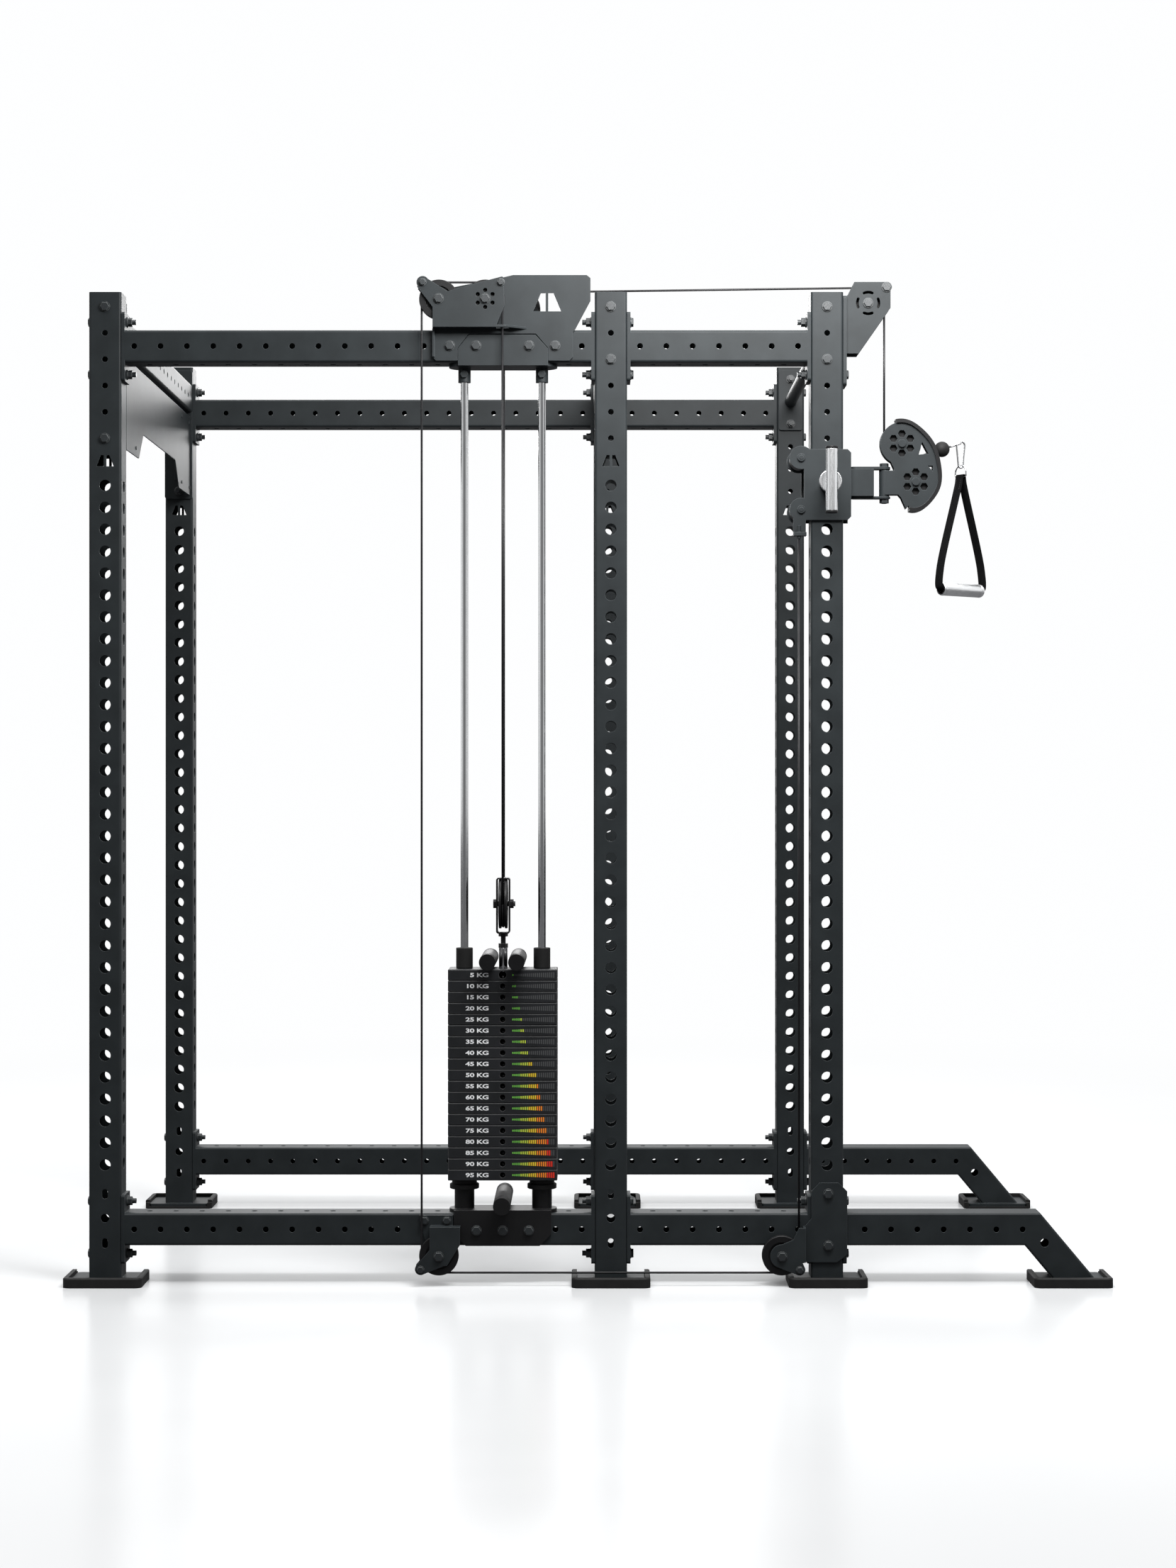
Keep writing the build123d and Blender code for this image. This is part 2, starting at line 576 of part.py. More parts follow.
def rear_head_bracket():
    """Bracket on the far face of the near top beam for the pulley of the rising cable."""
    x, z = REAR_HEAD
    q_back = HALF
    q_outer = Q_REAR + PULLEY_W / 2 + 3
    back = polygon([(x - 50, 2150), (x + 50, 2150), (x + 50, 2250), (x + 24, 2305), (x - 24, 2305), (x - 50, 2250)])
    outer = hull((x, z, 24), (x - 30, 2225, 8), (x + 30, 2225, 8))
    body = plate_xz(back, q_back, q_back + BACK_T)
    body += plate_xz(outer, q_outer, q_outer + PLATE_T)
    body += block(x - 38, x + 38, Y_NEAR + q_back, Y_NEAR + q_outer + PLATE_T, 2217, 2222)
    body -= rod_y(x, Y_NEAR, Y_NEAR + 100, z, AXLE_R + 0.05)
    body -= block(STACK_X - 8, STACK_X + 8, Y_NEAR + q_back + BACK_T, Y_NEAR + q_outer + 1, 2210, 2230)
    for dx in (-30, 30):
        body -= rod_y(x + dx, Y_NEAR + 30, Y_NEAR + 50, TOP_BEAM_Z, BOLT_HOLE_R)
    return body


def corner_bracket():
    """Flanged bracket at the front corner; two side plates hold the pulley over the swivel."""
    x0 = X_FRONT + HALF
    body = block(x0, x0 + FLANGE_T, Y_NEAR - HALF, Y_NEAR + HALF, 2084, 2292)
    body = fillet(body.edges().filter_by(Axis.X), 6)
    for side in (-1, 1):
        body -= rod_x(x0 - 1, x0 + 10, Y_NEAR, TOP_BEAM_Z + side * BOLT_PITCH, BOLT_HOLE_R)
    x1 = x0 + FLANGE_T
    outline = polygon([
        (x1, 2292), (603, 2295), (618, 2325), (697, 2325), (702, 2320), (702, 2265), (628, 2159), (x1, 2159)])
    for i in range(4):
        arc = SlotArc(CenterArc((0, 0), 25.0, 90 * i - 22, 44), 6.5)
        outline -= Pos(*CORNER) * arc
    for q in (-27.5, 22.5):
        body += plate_xz(outline, q, q + PLATE_T)
    for x, z in (CORNER, CORNER_SPACER):
        body -= rod_y(x, Y_NEAR - 40, Y_NEAR + 40, z, AXLE_R + 0.05)
    return body


def base_left_bracket():
    """Two plates under the base beam's near face for the rear floor pulley."""
    x, z = BASE_LEFT
    front = polygon([(-365, 139), (-295, 139), (-295, 98), (-325, 50), (-365, 50)])
    front += hull((x, z, 25), (*BASE_LEFT_SPACER, 13))
    q0 = FRONT_PLATE_Q
    body = plate_xz(front, q0, q0 + PLATE_T)
    back = polygon([(-390, 162), (-313, 162), (-313, 80), (-330, 50), (-365, 50)])
    back += hull((x, z, 25), (*BASE_LEFT_SPACER, 13))
    body += plate_xz(back, BEAM_Q - BACK_T, BEAM_Q)
    body += block(-365, -295, Y_NEAR + q0, Y_NEAR + BEAM_Q - 10, 134, 139)
    body += block(-365, -313, Y_NEAR + q0, Y_NEAR + BEAM_Q, 134, 139)
    body -= axle_hole(*BASE_LEFT, AXLE_R)
    body -= axle_hole(*BASE_LEFT_SPACER, SPACER_R)
    for bx in BASE_LEFT_SCREWS:
        body -= axle_hole(bx, 150, 5.0)
    return body


def base_right_bracket():
    """Pulley bracket beside the front post, and the cover plate that it is welded to."""
    x, z = BASE_RIGHT
    q0 = FRONT_PLATE_Q
    front = polygon([(486, 137), (502, 137), (502, 58), (480, 52), (447, 60), (447, 99), (473, 110)])
    front += hull((x, z, 27), (*BASE_RIGHT_SPACER, 13))
    body = plate_xz(front, q0, q0 + PLATE_T)
    back = hull((x, z, 27), (*BASE_RIGHT_SPACER, 13)) + polygon([(447, 99), (502, 110), (502, 60), (470, 50)])
    body += plate_xz(back, BEAM_Q - BACK_T, BEAM_Q)
    body += block(497, 502, Y_NEAR + q0, Y_NEAR + BEAM_Q, 60, 137)
    cover = polygon([
        (536, 237), (580, 237), (600, 217), (600, 72), (592, 64), (576, 53), (502, 53), (502, 136), (517, 154),
        (517, 217)])
    body += plate_xz(cover, BEAM_Q - BACK_T, BEAM_Q)
    body -= axle_hole(*BASE_RIGHT, AXLE_R)
    body -= axle_hole(*BASE_RIGHT_SPACER, SPACER_R)
    for bz in (212, 92):
        body -= rod_y(556, Y_NEAR + BEAM_Q - 10, Y_NEAR + BEAM_Q + 1, bz, AXLE_R + 0.05)
    return body


def bolt_head(radius):
    """Hex head with its flange washer, outside local z = 0."""
    head = Pos(0, 0, -7.5) * hex_prism(3 * radius, 7.5)
    head = chamfer(head.faces().sort_by(Axis.Z)[0].edges(), 0.8)
    return head + Pos(0, 0, -1.0) * Cylinder(2 * radius, 2.0)


def station_bolts():
    """Pulley axles, spacer bolts and the bolts that hold the brackets to the frame."""
    parts = []
    y_front = Y_NEAR + FRONT_PLATE_Q
    span = BEAM_Q - FRONT_PLATE_Q
    axles = [(*centre, AXLE_R) for centre in (HEAD_LEFT, HEAD_CENTRE, BASE_LEFT, BASE_RIGHT)]
    axles += [(*centre, SPACER_R) for centre in (*HEAD_SPACERS, BASE_LEFT_SPACER, BASE_RIGHT_SPACER)]
    for x, z, radius in axles:
        shank = Pos(0, 0, span / 2) * Cylinder(radius, span)
        parts.append(Pos(x, y_front, z) * ALONG_Y * (shank + bolt_head(radius)))
    for x, z in (CORNER, CORNER_SPACER):
        parts.append(bolt(x, Y_NEAR - 27.5, z, ALONG_Y, 55.0, spare=5.0))
        parts.append(nut(x, Y_NEAR - 27.5, z, ALONG_Y, 55.0))
    x, z = REAR_HEAD
    span = Q_REAR + PULLEY_W / 2 + 3 + PLATE_T - HALF
    shank = Pos(0, 0, span / 2) * Cylinder(AXLE_R, span)
    parts.append(Pos(x, Y_NEAR + HALF + span, z) * AGAINST_Y * (shank + bolt_head(AXLE_R)))
    for dx in (-30, 30):
        shank = Pos(0, 0, BACK_T / 2) * Cylinder(5.9, BACK_T)
        parts.append(Pos(x + dx, Y_NEAR + HALF + BACK_T, TOP_BEAM_Z) * AGAINST_Y * (shank + bolt_head(6.0)))
    face = Y_NEAR + BEAM_Q
    plates = [(-320, TOP_BEAM_Z, BACK_T), (-76, TOP_BEAM_Z, BACK_T), (556, 212, BACK_T), (556, 92, BACK_T)]
    plates += [(STACK_X + dx, TOP_BEAM_Z, 6.0) for dx in (-61.5, 61.2)]
    plates += [(STACK_X + dx, BASE_BEAM_Z - 1, 8.0) for dx in (-60.5, 0, 60.5)]
    for x, z, thick in plates:
        shank = Pos(0, 0, thick / 2) * Cylinder(5.9, thick)
        parts.append(Pos(x, face - thick, z) * ALONG_Y * (shank + bolt_head(6.0)))
    for x in BASE_LEFT_SCREWS:
        shank = Pos(0, 0, BACK_T / 2) * Cylinder(5.0, BACK_T)
        parts.append(Pos(x, face - BACK_T, 150) * ALONG_Y * (shank + bolt_head(5.0)))
    return parts


# ---- trolley, swivel head and handle ------------------------------------------------------
TROLLEY_GAP = 2.0
TROLLEY_T = 5.0
ROLLER_X = 493.4
ROLLER_Z = (1915.7, 1795.4)
ROLLER_R = 22.8
ARM_Z0 = 1829.0            # swivel tube runs between the two ears
ARM_Z1 = 1892.0
ANCHOR_X = BASE_RIGHT[0] + WRAP_R
ANCHOR_Z = 1733.0


def trolley_carriage():
    """Plates that wrap the near front upright, the arm with its ears, and the lock housing."""
    q_near = -HALF - TROLLEY_GAP - TROLLEY_T
    q_far = HALF + TROLLEY_GAP
    outline = polygon([(500, 1771), (601, 1771), (609, 1779), (609, 1927), (601, 1935), (500, 1935)])
    for z in ROLLER_Z:
        outline += disc(ROLLER_X, z, 27.0)
    outline += polygon([(475, ANCHOR_Z), (504, ANCHOR_Z), (504, 1800), (475, 1790)])
    outline -= Pos(497, 1855.5) * SlotOverall(16, 3, rotation=90)
    body = plate_xz(outline, q_near, q_near + TROLLEY_T)
    far_outline = polygon([(500, 1771), (609, 1771), (609, 1935), (500, 1935)])
    for z in ROLLER_Z:
        far_outline += disc(ROLLER_X, z, 27.0)
    body += plate_xz(far_outline, q_far, q_far + TROLLEY_T)
    body += block(604, 609, Y_NEAR + q_near, Y_NEAR + q_far + TROLLEY_T, 1779, 1927)
    body -= rod_y(X_FRONT, Y_NEAR + q_near - 1, Y_NEAR + q_near + 6, TROLLEY_Z, PIN_HOLE_R)
    arm = block(609, 664, Y_NEAR - 22, Y_NEAR + 22, ARM_Z0, ARM_Z1)
    arm -= block(612, 665, Y_NEAR - 18, Y_NEAR + 18, ARM_Z0 + 4, ARM_Z1 - 4)
    arm += block(655, 664, Y_NEAR - 22, Y_NEAR + 22, ARM_Z0, ARM_Z1)
    for z0, z1 in ((ARM_Z0 - 5, ARM_Z0), (ARM_Z1, ARM_Z1 + 6)):
        outline = Pos((609 + SWIVEL_X + 14) / 2, Y_NEAR) * RectangleRounded(SWIVEL_X + 14 - 609, 28, 13.5)
        arm += Pos(0, 0, z0) * extrude(outline, z1 - z0)
    arm -= rod_z(SWIVEL_X, Y_NEAR, ARM_Z0 - 20, ARM_Z1 + 20, AXLE_R + 0.05)
    arm &= block(609, 720, Y_NEAR - 30, Y_NEAR + 30, 1800, 1920)
    body += arm
    body += block(475, 504, Y_NEAR + Q_FRONT - 8, Y_NEAR + q_near, ANCHOR_Z, ANCHOR_Z + 8)
    body -= rod_z(ANCHOR_X, Y_NEAR + Q_FRONT, ANCHOR_Z - 1, ANCHOR_Z + 9, 5.05)
    housing = rod_y(X_FRONT, Y_NEAR + LOCK_Q0, Y_NEAR + q_near, TROLLEY_Z, 18.0)
    housing -= rod_y(X_FRONT, Y_NEAR + LOCK_Q0 + 5, Y_NEAR + q_near + 1, TROLLEY_Z, PIN_HOLE_R)
    housing -= rod_y(X_FRONT, Y_NEAR + LOCK_Q0 - 1, Y_NEAR + q_near, TROLLEY_Z, 6.5)
    body += housing
    hinge_bolt = rod_z(SWIVEL_X, Y_NEAR, ARM_Z0 - 16, ARM_Z1 + 6, AXLE_R)
    head = Pos(SWIVEL_X, Y_NEAR, ARM_Z1 + 6) * hex_prism(18.0, 8.5)
    hinge_nut = Pos(SWIVEL_X, Y_NEAR, ARM_Z0 - 15) * hex_prism(19.0, 10.0)
    pads = [block(592.0, 604, Y_NEAR - 20, Y_NEAR + 20, z - 15, z + 15) for z in (1800.0, 1906.0)]
    ferrule = rod_z(ANCHOR_X, Y_NEAR + Q_FRONT, ANCHOR_Z - 6, 1757, 5.0)
    axles = [rod_y(ROLLER_X, Y_NEAR + q_near - 6, Y_NEAR + q_far + TROLLEY_T + 6, z, 5.0)
             for z in ROLLER_Z]
    for axle in axles:
        body -= axle
    rings = [rod_y(ROLLER_X, Y_NEAR + q_near - 5, Y_NEAR + q_near, z, 9.0) for z in ROLLER_Z]
    return [body, hinge_bolt + head + hinge_nut, ferrule] + pads + [a + r for a, r in zip(axles, rings)]


LOCK_Q0 = -HALF - 72.0     # outer end of the lock housing
LOCK_DISC_Q = -HALF - 94.0  # outer face of the disc on the pin
LOCK_COLLAR_Q = -HALF - 44.5  # where the thick end of the pin starts
LOCK_GRIP_Q = -HALF - LOCK_REACH + 14.0


def trolley_roller(z):
    body = rod_y(ROLLER_X, Y_NEAR - 30, Y_NEAR + 30, z, ROLLER_R)
    body = fillet(body.edges(), 3.0)
    return body - rod_y(ROLLER_X, Y_NEAR - 31, Y_NEAR + 31, z, 5.0 + RUN_GAP)


def lock_pin():
    """Pin drawn back just clear of the post, with its disc and the vertical grip that moves it."""
    y = Y_NEAR
    tip = rod_y(X_FRONT, y + LOCK_COLLAR_Q, y - HALF - 0.5, TROLLEY_Z, PIN_HOLE_R - 0.6)
    tip = chamfer(tip.faces().sort_by(Axis.Y)[-1].edges(), 2.0)
    shaft = rod_y(X_FRONT, y + LOCK_GRIP_Q, y + LOCK_COLLAR_Q, TROLLEY_Z, 6.0)
    plate = rod_y(X_FRONT, y + LOCK_DISC_Q, y + LOCK_DISC_Q + 8, TROLLEY_Z, 26.0)
    plate = fillet(plate.edges(), 1.5)
    neck = rod_y(X_FRONT, y + LOCK_GRIP_Q, y + LOCK_DISC_Q, TROLLEY_Z, 9.0)
    grip = rod_z(X_FRONT, y + LOCK_GRIP_Q, TROLLEY_Z - 70, TROLLEY_Z + 70, 13.5)
    ends = []
    for side in (-1, 1):
        cap = Pos(X_FRONT, y + LOCK_GRIP_Q, TROLLEY_Z + side * 73) * Cylinder(14.0, 6.0)
        ends.append(fillet(cap.edges(), 1.5))
    return tip + shaft + plate + neck + grip + ends


def lock_spring():
    wire = Helix(pitch=4.2, height=18.9, radius=9.2)
    start = Plane(origin=wire @ 0, z_dir=wire % 0)
    coil = sweep(start * Circle(0.9), path=wire, is_frenet=True)
    return Pos(X_FRONT, Y_NEAR + LOCK_COLLAR_Q - 20.6, TROLLEY_Z) * ALONG_Y * coil


GUARD_OUT = [
    (715, 2008), (752, 2003.5), (777, 1986), (798.5, 1962.6), (811, 1939.5), (820, 1904), (822.5, 1870),
    (818, 1847), (802, 1820), (781, 1800), (758, 1793), (747, 1795)]
GUARD_T = 9.0
CHEEK_Q = 9.6              # inner face of each cheek plate
CHEEK_T = 4.0


def toward(point, centre, amount):
    """Point moved a distance toward a centre."""
    dx = centre[0] - point[0]
    dz = centre[1] - point[1]
    length = math.hypot(dx, dz)
    return (point[0] + dx / length * amount, point[1] + dz / length * amount)


def guard_curves(inset):
    centre = (745, 1900)
    return Spline(*[toward(p, centre, inset) for p in GUARD_OUT])


def swivel_head():
    """Two cheek plates and the hinge tube, with the curved guard round their outer edge."""
    inner = guard_curves(GUARD_T - 0.5)
    region = make_face(Wire([inner, Line(inner @ 1, inner @ 0)]))
    tab = polygon([(SWIVEL_X, 1833), (725, 1833), (740, 1800), (762, 1830), (730, 1905), (712, 1912), (712, 1889),
                   (SWIVEL_X, 1889)])
    outline = region + disc(*SWIVEL_UPPER, 50) + disc(*SWIVEL_LOWER, 50) + tab
    outline += polygon([(700, 1920), (712, 1893), (735, 1893), (735, 1930)])
    for centre in (SWIVEL_UPPER, SWIVEL_LOWER):
        for i in range(6):
            angle = math.radians(30 + 60 * i)
            x = centre[0] + 22.6 * math.cos(angle)
            z = centre[1] + 22.6 * math.sin(angle)
            outline -= Pos(x, z) * RegularPolygon(9.35, 6, rotation=0)
        outline -= disc(*centre, AXLE_R + 0.05)
    outline -= polygon([(777, 1956), (792, 1928), (769, 1926)])
    outline -= polygon([(790, 1900), (802, 1900), (802, 1888)])
    body = plate_xz(outline, -CHEEK_Q - CHEEK_T, -CHEEK_Q)
    body += plate_xz(outline, CHEEK_Q, CHEEK_Q + CHEEK_T)
    body -= rod_z(SWIVEL_X, Y_NEAR, 1800, 1920, 11.0)
    tube = rod_z(SWIVEL_X, Y_NEAR, ARM_Z0 + 0.5, ARM_Z1 - 0.5, 12.0)
    body += tube
    body += block(SWIVEL_X + 6, 712, Y_NEAR - CHEEK_Q - CHEEK_T, Y_NEAR + CHEEK_Q + CHEEK_T, 1836, 1886)
    body -= rod_z(SWIVEL_X, Y_NEAR, 1800, 1920, AXLE_R + RUN_GAP)
    guard_face = make_face(Wire([
        guard_curves(0), Line(guard_curves(0) @ 1, guard_curves(GUARD_T) @ 1), guard_curves(GUARD_T),
        Line(guard_curves(GUARD_T) @ 0, guard_curves(0) @ 0)]))
    guard = plate_xz(guard_face, -19, 19)
    guard -= block(760, 840, Y_NEAR - 5, Y_NEAR + 5, 1825, 1985)
    guard -= Pos(BALL) * Sphere(BALL_R + 0.5)
    axles = []
    for x, z in (SWIVEL_UPPER, SWIVEL_LOWER):
        axle = rod_y(x, Y_NEAR - CHEEK_Q - CHEEK_T - 1, Y_NEAR + CHEEK_Q + CHEEK_T + 9, z, AXLE_R)
        axle += rod_y(x, Y_NEAR - CHEEK_Q - CHEEK_T - 6, Y_NEAR - CHEEK_Q - CHEEK_T, z, 9.0)
        axle += Pos(x, Y_NEAR + CHEEK_Q + CHEEK_T, z) * ALONG_Y * hex_prism(17.0, 7.0)
        axles.append(axle)
    return [body + guard] + axles


EXIT_DIR = Vector(math.cos(math.radians(EXIT_ANGLE)), 0, math.sin(math.radians(EXIT_ANGLE)))
EXIT_START = Vector(
    SWIVEL_UPPER[0] + WRAP_R * math.sin(math.radians(EXIT_ANGLE)), Y_NEAR,
    SWIVEL_UPPER[1] - WRAP_R * math.cos(math.radians(EXIT_ANGLE)))
BALL = EXIT_START + EXIT_DIR * ((824.6 - EXIT_START.X) / EXIT_DIR.X)
EYE_TIP = BALL + EXIT_DIR * 46.0
LINK_X = EYE_TIP.X
EYE_WIRE = 1.9
CARABINER_WIRE = 2.2
CARABINER_TOP = EYE_TIP.Z + EYE_WIRE + CARABINER_WIRE + 0.3    # centre line, hanging in the eye
CARABINER_H = 61.0
HOOK_TOP_R = 9.5           # pear shape: wide bend at the top, tight bend at the bottom
HOOK_LOW_R = 5.4
HOOK_TOP = (LINK_X, CARABINER_TOP - HOOK_TOP_R)
HOOK_LOW = (LINK_X, CARABINER_TOP - CARABINER_H + HOOK_LOW_R)
HOOK_LEAN = math.degrees(math.asin((HOOK_TOP_R - HOOK_LOW_R) / (HOOK_TOP[1] - HOOK_LOW[1])))
GATE_FROM = 0.20           # gate's ends, as shares of the straight side from the bottom
GATE_TO = 0.86
LINK_TOP_Z = CARABINER_TOP - CARABINER_H + CARABINER_WIRE    # where the ring hangs on the hook
RING_WIRE = 1.8
RING_W = 34.0
RING_H = 26.0
RING_REST = 1.2            # a yawed ring rides up the bend by this much
RING_BAR_Z = LINK_TOP_Z + RING_WIRE + RING_REST - RING_H


def stop_ball():
    """Rubber stop on the cable's end, and the eye that the carabiner hangs from."""
    ball = Pos(BALL) * Sphere(BALL_R)
    frame = Plane(origin=BALL + EXIT_DIR * 32.0, x_dir=EXIT_DIR, z_dir=EXIT_DIR.cross(Vector(0, 1, 0)))
    path = frame * RectangleRounded(28.0, 13.0, 6.4).wire()
    section = Plane(origin=path @ 0, z_dir=path % 0) * Circle(EYE_WIRE)
    eye = sweep(section, path=path)
    return [ball - eye, eye]


def wire_bend(centre, radius, wire_r, start, sweep_angle):
    """Piece of a round-wire ring in an XZ plane; angles are from +X towards +Z."""
    section = Plane.XY * Pos(radius, 0) * Circle(wire_r)
    bend = revolve(section, axis=Axis.Y, revolution_arc=-sweep_angle)
    return Pos(centre[0], Y_NEAR, centre[1]) * Rot(0, -start, 0) * bend


def hook_side(side, share):
    """Point on the centre line of a straight side, as a share of the way up; side -1 is the left."""
    angle = math.radians(HOOK_LEAN)
    ends = []
    for centre, radius in ((HOOK_LOW, HOOK_LOW_R), (HOOK_TOP, HOOK_TOP_R)):
        ends.append((centre[0] + side * radius * math.cos(angle), centre[1] - radius * math.sin(angle)))
    low, high = ends
    return Vector(low[0] + (high[0] - low[0]) * share, Y_NEAR, low[1] + (high[1] - low[1]) * share)


def wire_between(start, end, wire_r):
    run = end - start
    return extrude(Plane(origin=start, z_dir=run) * Circle(wire_r), run.length)


def carabiner():
    """Pear-shaped snap hook with a gap for its gate, and the ring that joins the strap to it."""
    loop = wire_bend(HOOK_TOP, HOOK_TOP_R, CARABINER_WIRE, -HOOK_LEAN, 180 + 2 * HOOK_LEAN)
    loop += wire_bend(HOOK_LOW, HOOK_LOW_R, CARABINER_WIRE, 180 + HOOK_LEAN, 180 - 2 * HOOK_LEAN)
    for side, low, high in ((-1, 0, 1), (1, 0, GATE_FROM), (1, GATE_TO, 1)):
        loop += wire_between(hook_side(side, low), hook_side(side, high), CARABINER_WIRE)
    top_r = RING_W / 2
    low_r = 4.0
    path = Wire([
        Line((low_r - top_r, 0), (top_r - low_r, 0)),
        CenterArc((top_r - low_r, low_r), low_r, -90, 90),
        Line((top_r, low_r), (top_r, RING_H - top_r)),
        CenterArc((0, RING_H - top_r), top_r, 0, 180),
        Line((-top_r, RING_H - top_r), (-top_r, low_r)),
        CenterArc((low_r - top_r, low_r), low_r, 180, 90)])
    path = Pos(LINK_X, Y_NEAR, RING_BAR_Z) * Rot(0, 0, GRIP_YAW) * (Plane.YZ * path)
    ring = sweep(Plane(origin=path @ 0, z_dir=path % 0) * Circle(RING_WIRE), path=path)
    return [loop, ring]


def carabiner_gate():
    """Straight rod that closes the hook's right side, 0.3 mm short at each end."""
    low = hook_side(1, GATE_FROM)
    high = hook_side(1, GATE_TO)
    gap = (high - low).normalized() * 0.3
    return wire_between(low + gap, high - gap, CARABINER_WIRE - 0.3)


def in_grip_frame(shape):
    """Place a shape drawn about the grip's middle, with local x along the grip."""
    return Pos(LINK_X, Y_NEAR, 0) * Rot(0, 0, GRIP_YAW) * shape


STRAP_HALF = GRIP_L / 2 + 9.0
STRAP_APEX_Z = RING_BAR_Z + 20.0    # sharp corner of the outline, before it is rounded off


def handle_strap():
    """Webbing loop: through the ring, down both sides and through the grip."""
    foot_z = GRIP_Z - 1.3
    outline = polygon([(0, STRAP_APEX_Z), (STRAP_HALF, foot_z), (-STRAP_HALF, foot_z)])
    outline = fillet(outline.vertices(), 5)
    inside = offset(outline, amount=-2.5)
    loop = Pos(0, 12.5, 0) * Rot(90, 0, 0) * extrude(outline - inside, 25.0)
    return in_grip_frame(loop)


def handle_grip():
    body = Pos(0, 0, GRIP_Z) * Rot(0, 90, 0) * Cylinder(GRIP_R, GRIP_L)
    body = fillet(body.edges(), 1.2)
    body -= Pos(0, 0, GRIP_Z) * Rot(0, 90, 0) * Cylinder(13.2, GRIP_L + 2)
    return in_grip_frame(body)


# ---- cable --------------------------------------------------------------------------------
def fixed_cables():
    """The runs that never change length: floor run, rear riser and the run along the top."""
    y = Y_NEAR + Q_FRONT
    x_left = HEAD_LEFT[0] - WRAP_R
    z_low = BASE_LEFT[1] - WRAP_R
    z_high = HEAD_LEFT[1] + WRAP_R
    back_loop = cable([
        (ANCHOR_X, y, BASE_RIGHT[1]), (ANCHOR_X, y, z_low), (x_left, y, z_low), (x_left, y, z_high),
        (HEAD_CENTRE[0] + WRAP_R, y, z_high), (HEAD_CENTRE[0] + WRAP_R, y, HEAD_CENTRE[1])], WRAP_R - 0.01)
    y_rear = Y_NEAR + Q_REAR
    z_top = CORNER[1] + WRAP_R
    rear = cable([(STACK_X, y_rear, REAR_HEAD[1]), (STACK_X, y_rear, z_top), (REAR_HEAD[0] + 6, y_rear, z_top)],
                 WRAP_R - 0.01)
    front = cable([(CORNER[0] - 6, Y_NEAR, z_top), (SWIVEL_X, Y_NEAR, z_top), (SWIVEL_X, Y_NEAR, CORNER[1])],
                  WRAP_R - 0.01)
    run = cable([(REAR_HEAD[0] + 6, y_rear, z_top), (CORNER[0] - 6, Y_NEAR, z_top)], 0)
    return [back_loop, rear, run, front]


def stack_cables():
    """Front and rear strands between the head pulleys and the stack pulley, and its wrap."""
    front = cable([
        (HEAD_CENTRE[0] + WRAP_R, Y_NEAR + Q_FRONT, HEAD_CENTRE[1] - 1),
        (STACK_X, Y_NEAR - STACK_WRAP_R, STACK_PULLEY_Z + 1)], 0)
    rear = cable([
        (STACK_X, Y_NEAR + Q_REAR, REAR_HEAD[1] - 1), (STACK_X, Y_NEAR + STACK_WRAP_R, STACK_PULLEY_Z + 1)], 0)
    return [front, rear]


def stack_wrap():
    """Half turn of cable under the stack pulley."""
    half = Torus(STACK_WRAP_R, CABLE_R) & block(-100, 100, -100, 0, -10, 10)
    return Pos(STACK_X, Y_NEAR, STACK_PULLEY_Z) * Rot(0, 0, 90) * Rot(90, 0, 0) * half


def handle_cable():
    """Cable round the upper swivel pulley and out to the stop ball."""
    r = WRAP_R
    tangent = math.radians(EXIT_ANGLE)
    cx, cz = SWIVEL_UPPER
    turn = CenterArc((cx, cz), r, 180, 90 + EXIT_ANGLE)
    end = BALL - EXIT_DIR * (BALL_R + 0.4)
    path = Wire([turn, Line(turn @ 1, (end.X, end.Z))])
    path = Pos(0, Y_NEAR, 0) * (Plane.XZ * path)
    return sweep(Plane(origin=path @ 0, z_dir=path % 0) * Circle(CABLE_R), path=path)


def save(name, shapes):
    """Write one node; a list becomes a group of separate solids."""
    if not isinstance(shapes, (list, tuple)):
        shapes = [shapes]
    solids = []
    for shape in shapes:
        solids += shape.solids()
    node = solids[0] if len(solids) == 1 else Compound(children=solids)
    export_step(node, f"parts/{name}.step")


os.makedirs("parts", exist_ok=True)

upright = upright_body()
for label, x in (("rear", X_REAR), ("middle", X_MID), ("front", X_FRONT)):
    for side, y, outward in (("near", Y_NEAR, -1), ("far", Y_FAR, 1)):
        save(f"{label}_upright_{side}", Pos(x, y, 0) * (upright + foot_plate(outward)))

for name, x0, x1, z in (
        ("top_long_beams", X_REAR, X_MID, TOP_BEAM_Z), ("top_short_beams", X_MID, X_FRONT, TOP_BEAM_Z),
        ("base_long_beams", X_REAR, X_MID, BASE_BEAM_Z), ("base_short_beams", X_MID, X_FRONT, BASE_BEAM_Z)):
    beam = side_beam(x0, x1, 0, z)
    save(name, [Pos(0, Y_NEAR, 0) * beam, Pos(0, Y_FAR, 0) * beam])

save("stabilisers", [stabiliser(Y_NEAR, -1), stabiliser(Y_FAR, 1)])
save("foot_trays", [foot_tray(x, y, outward) for x in (X_REAR, X_MID, X_FRONT, X_FOOT)
                    for y, outward in ((Y_NEAR, -1), (Y_FAR, 1))])
save("rear_crossmember", crossmember(X_REAR, 2212.5, 1940.0, 2290.0, REAR_BOLTS))
save("name_panel", name_panel())
save("middle_crossmember", crossmember(X_MID, 2205.0, 2127.0, 2290.0, MID_BOLTS))
save("pull_up_bar", pull_up_bar())
bolts, nuts = frame_fasteners()
save("bolts", bolts + station_bolts())
save("nuts", nuts)

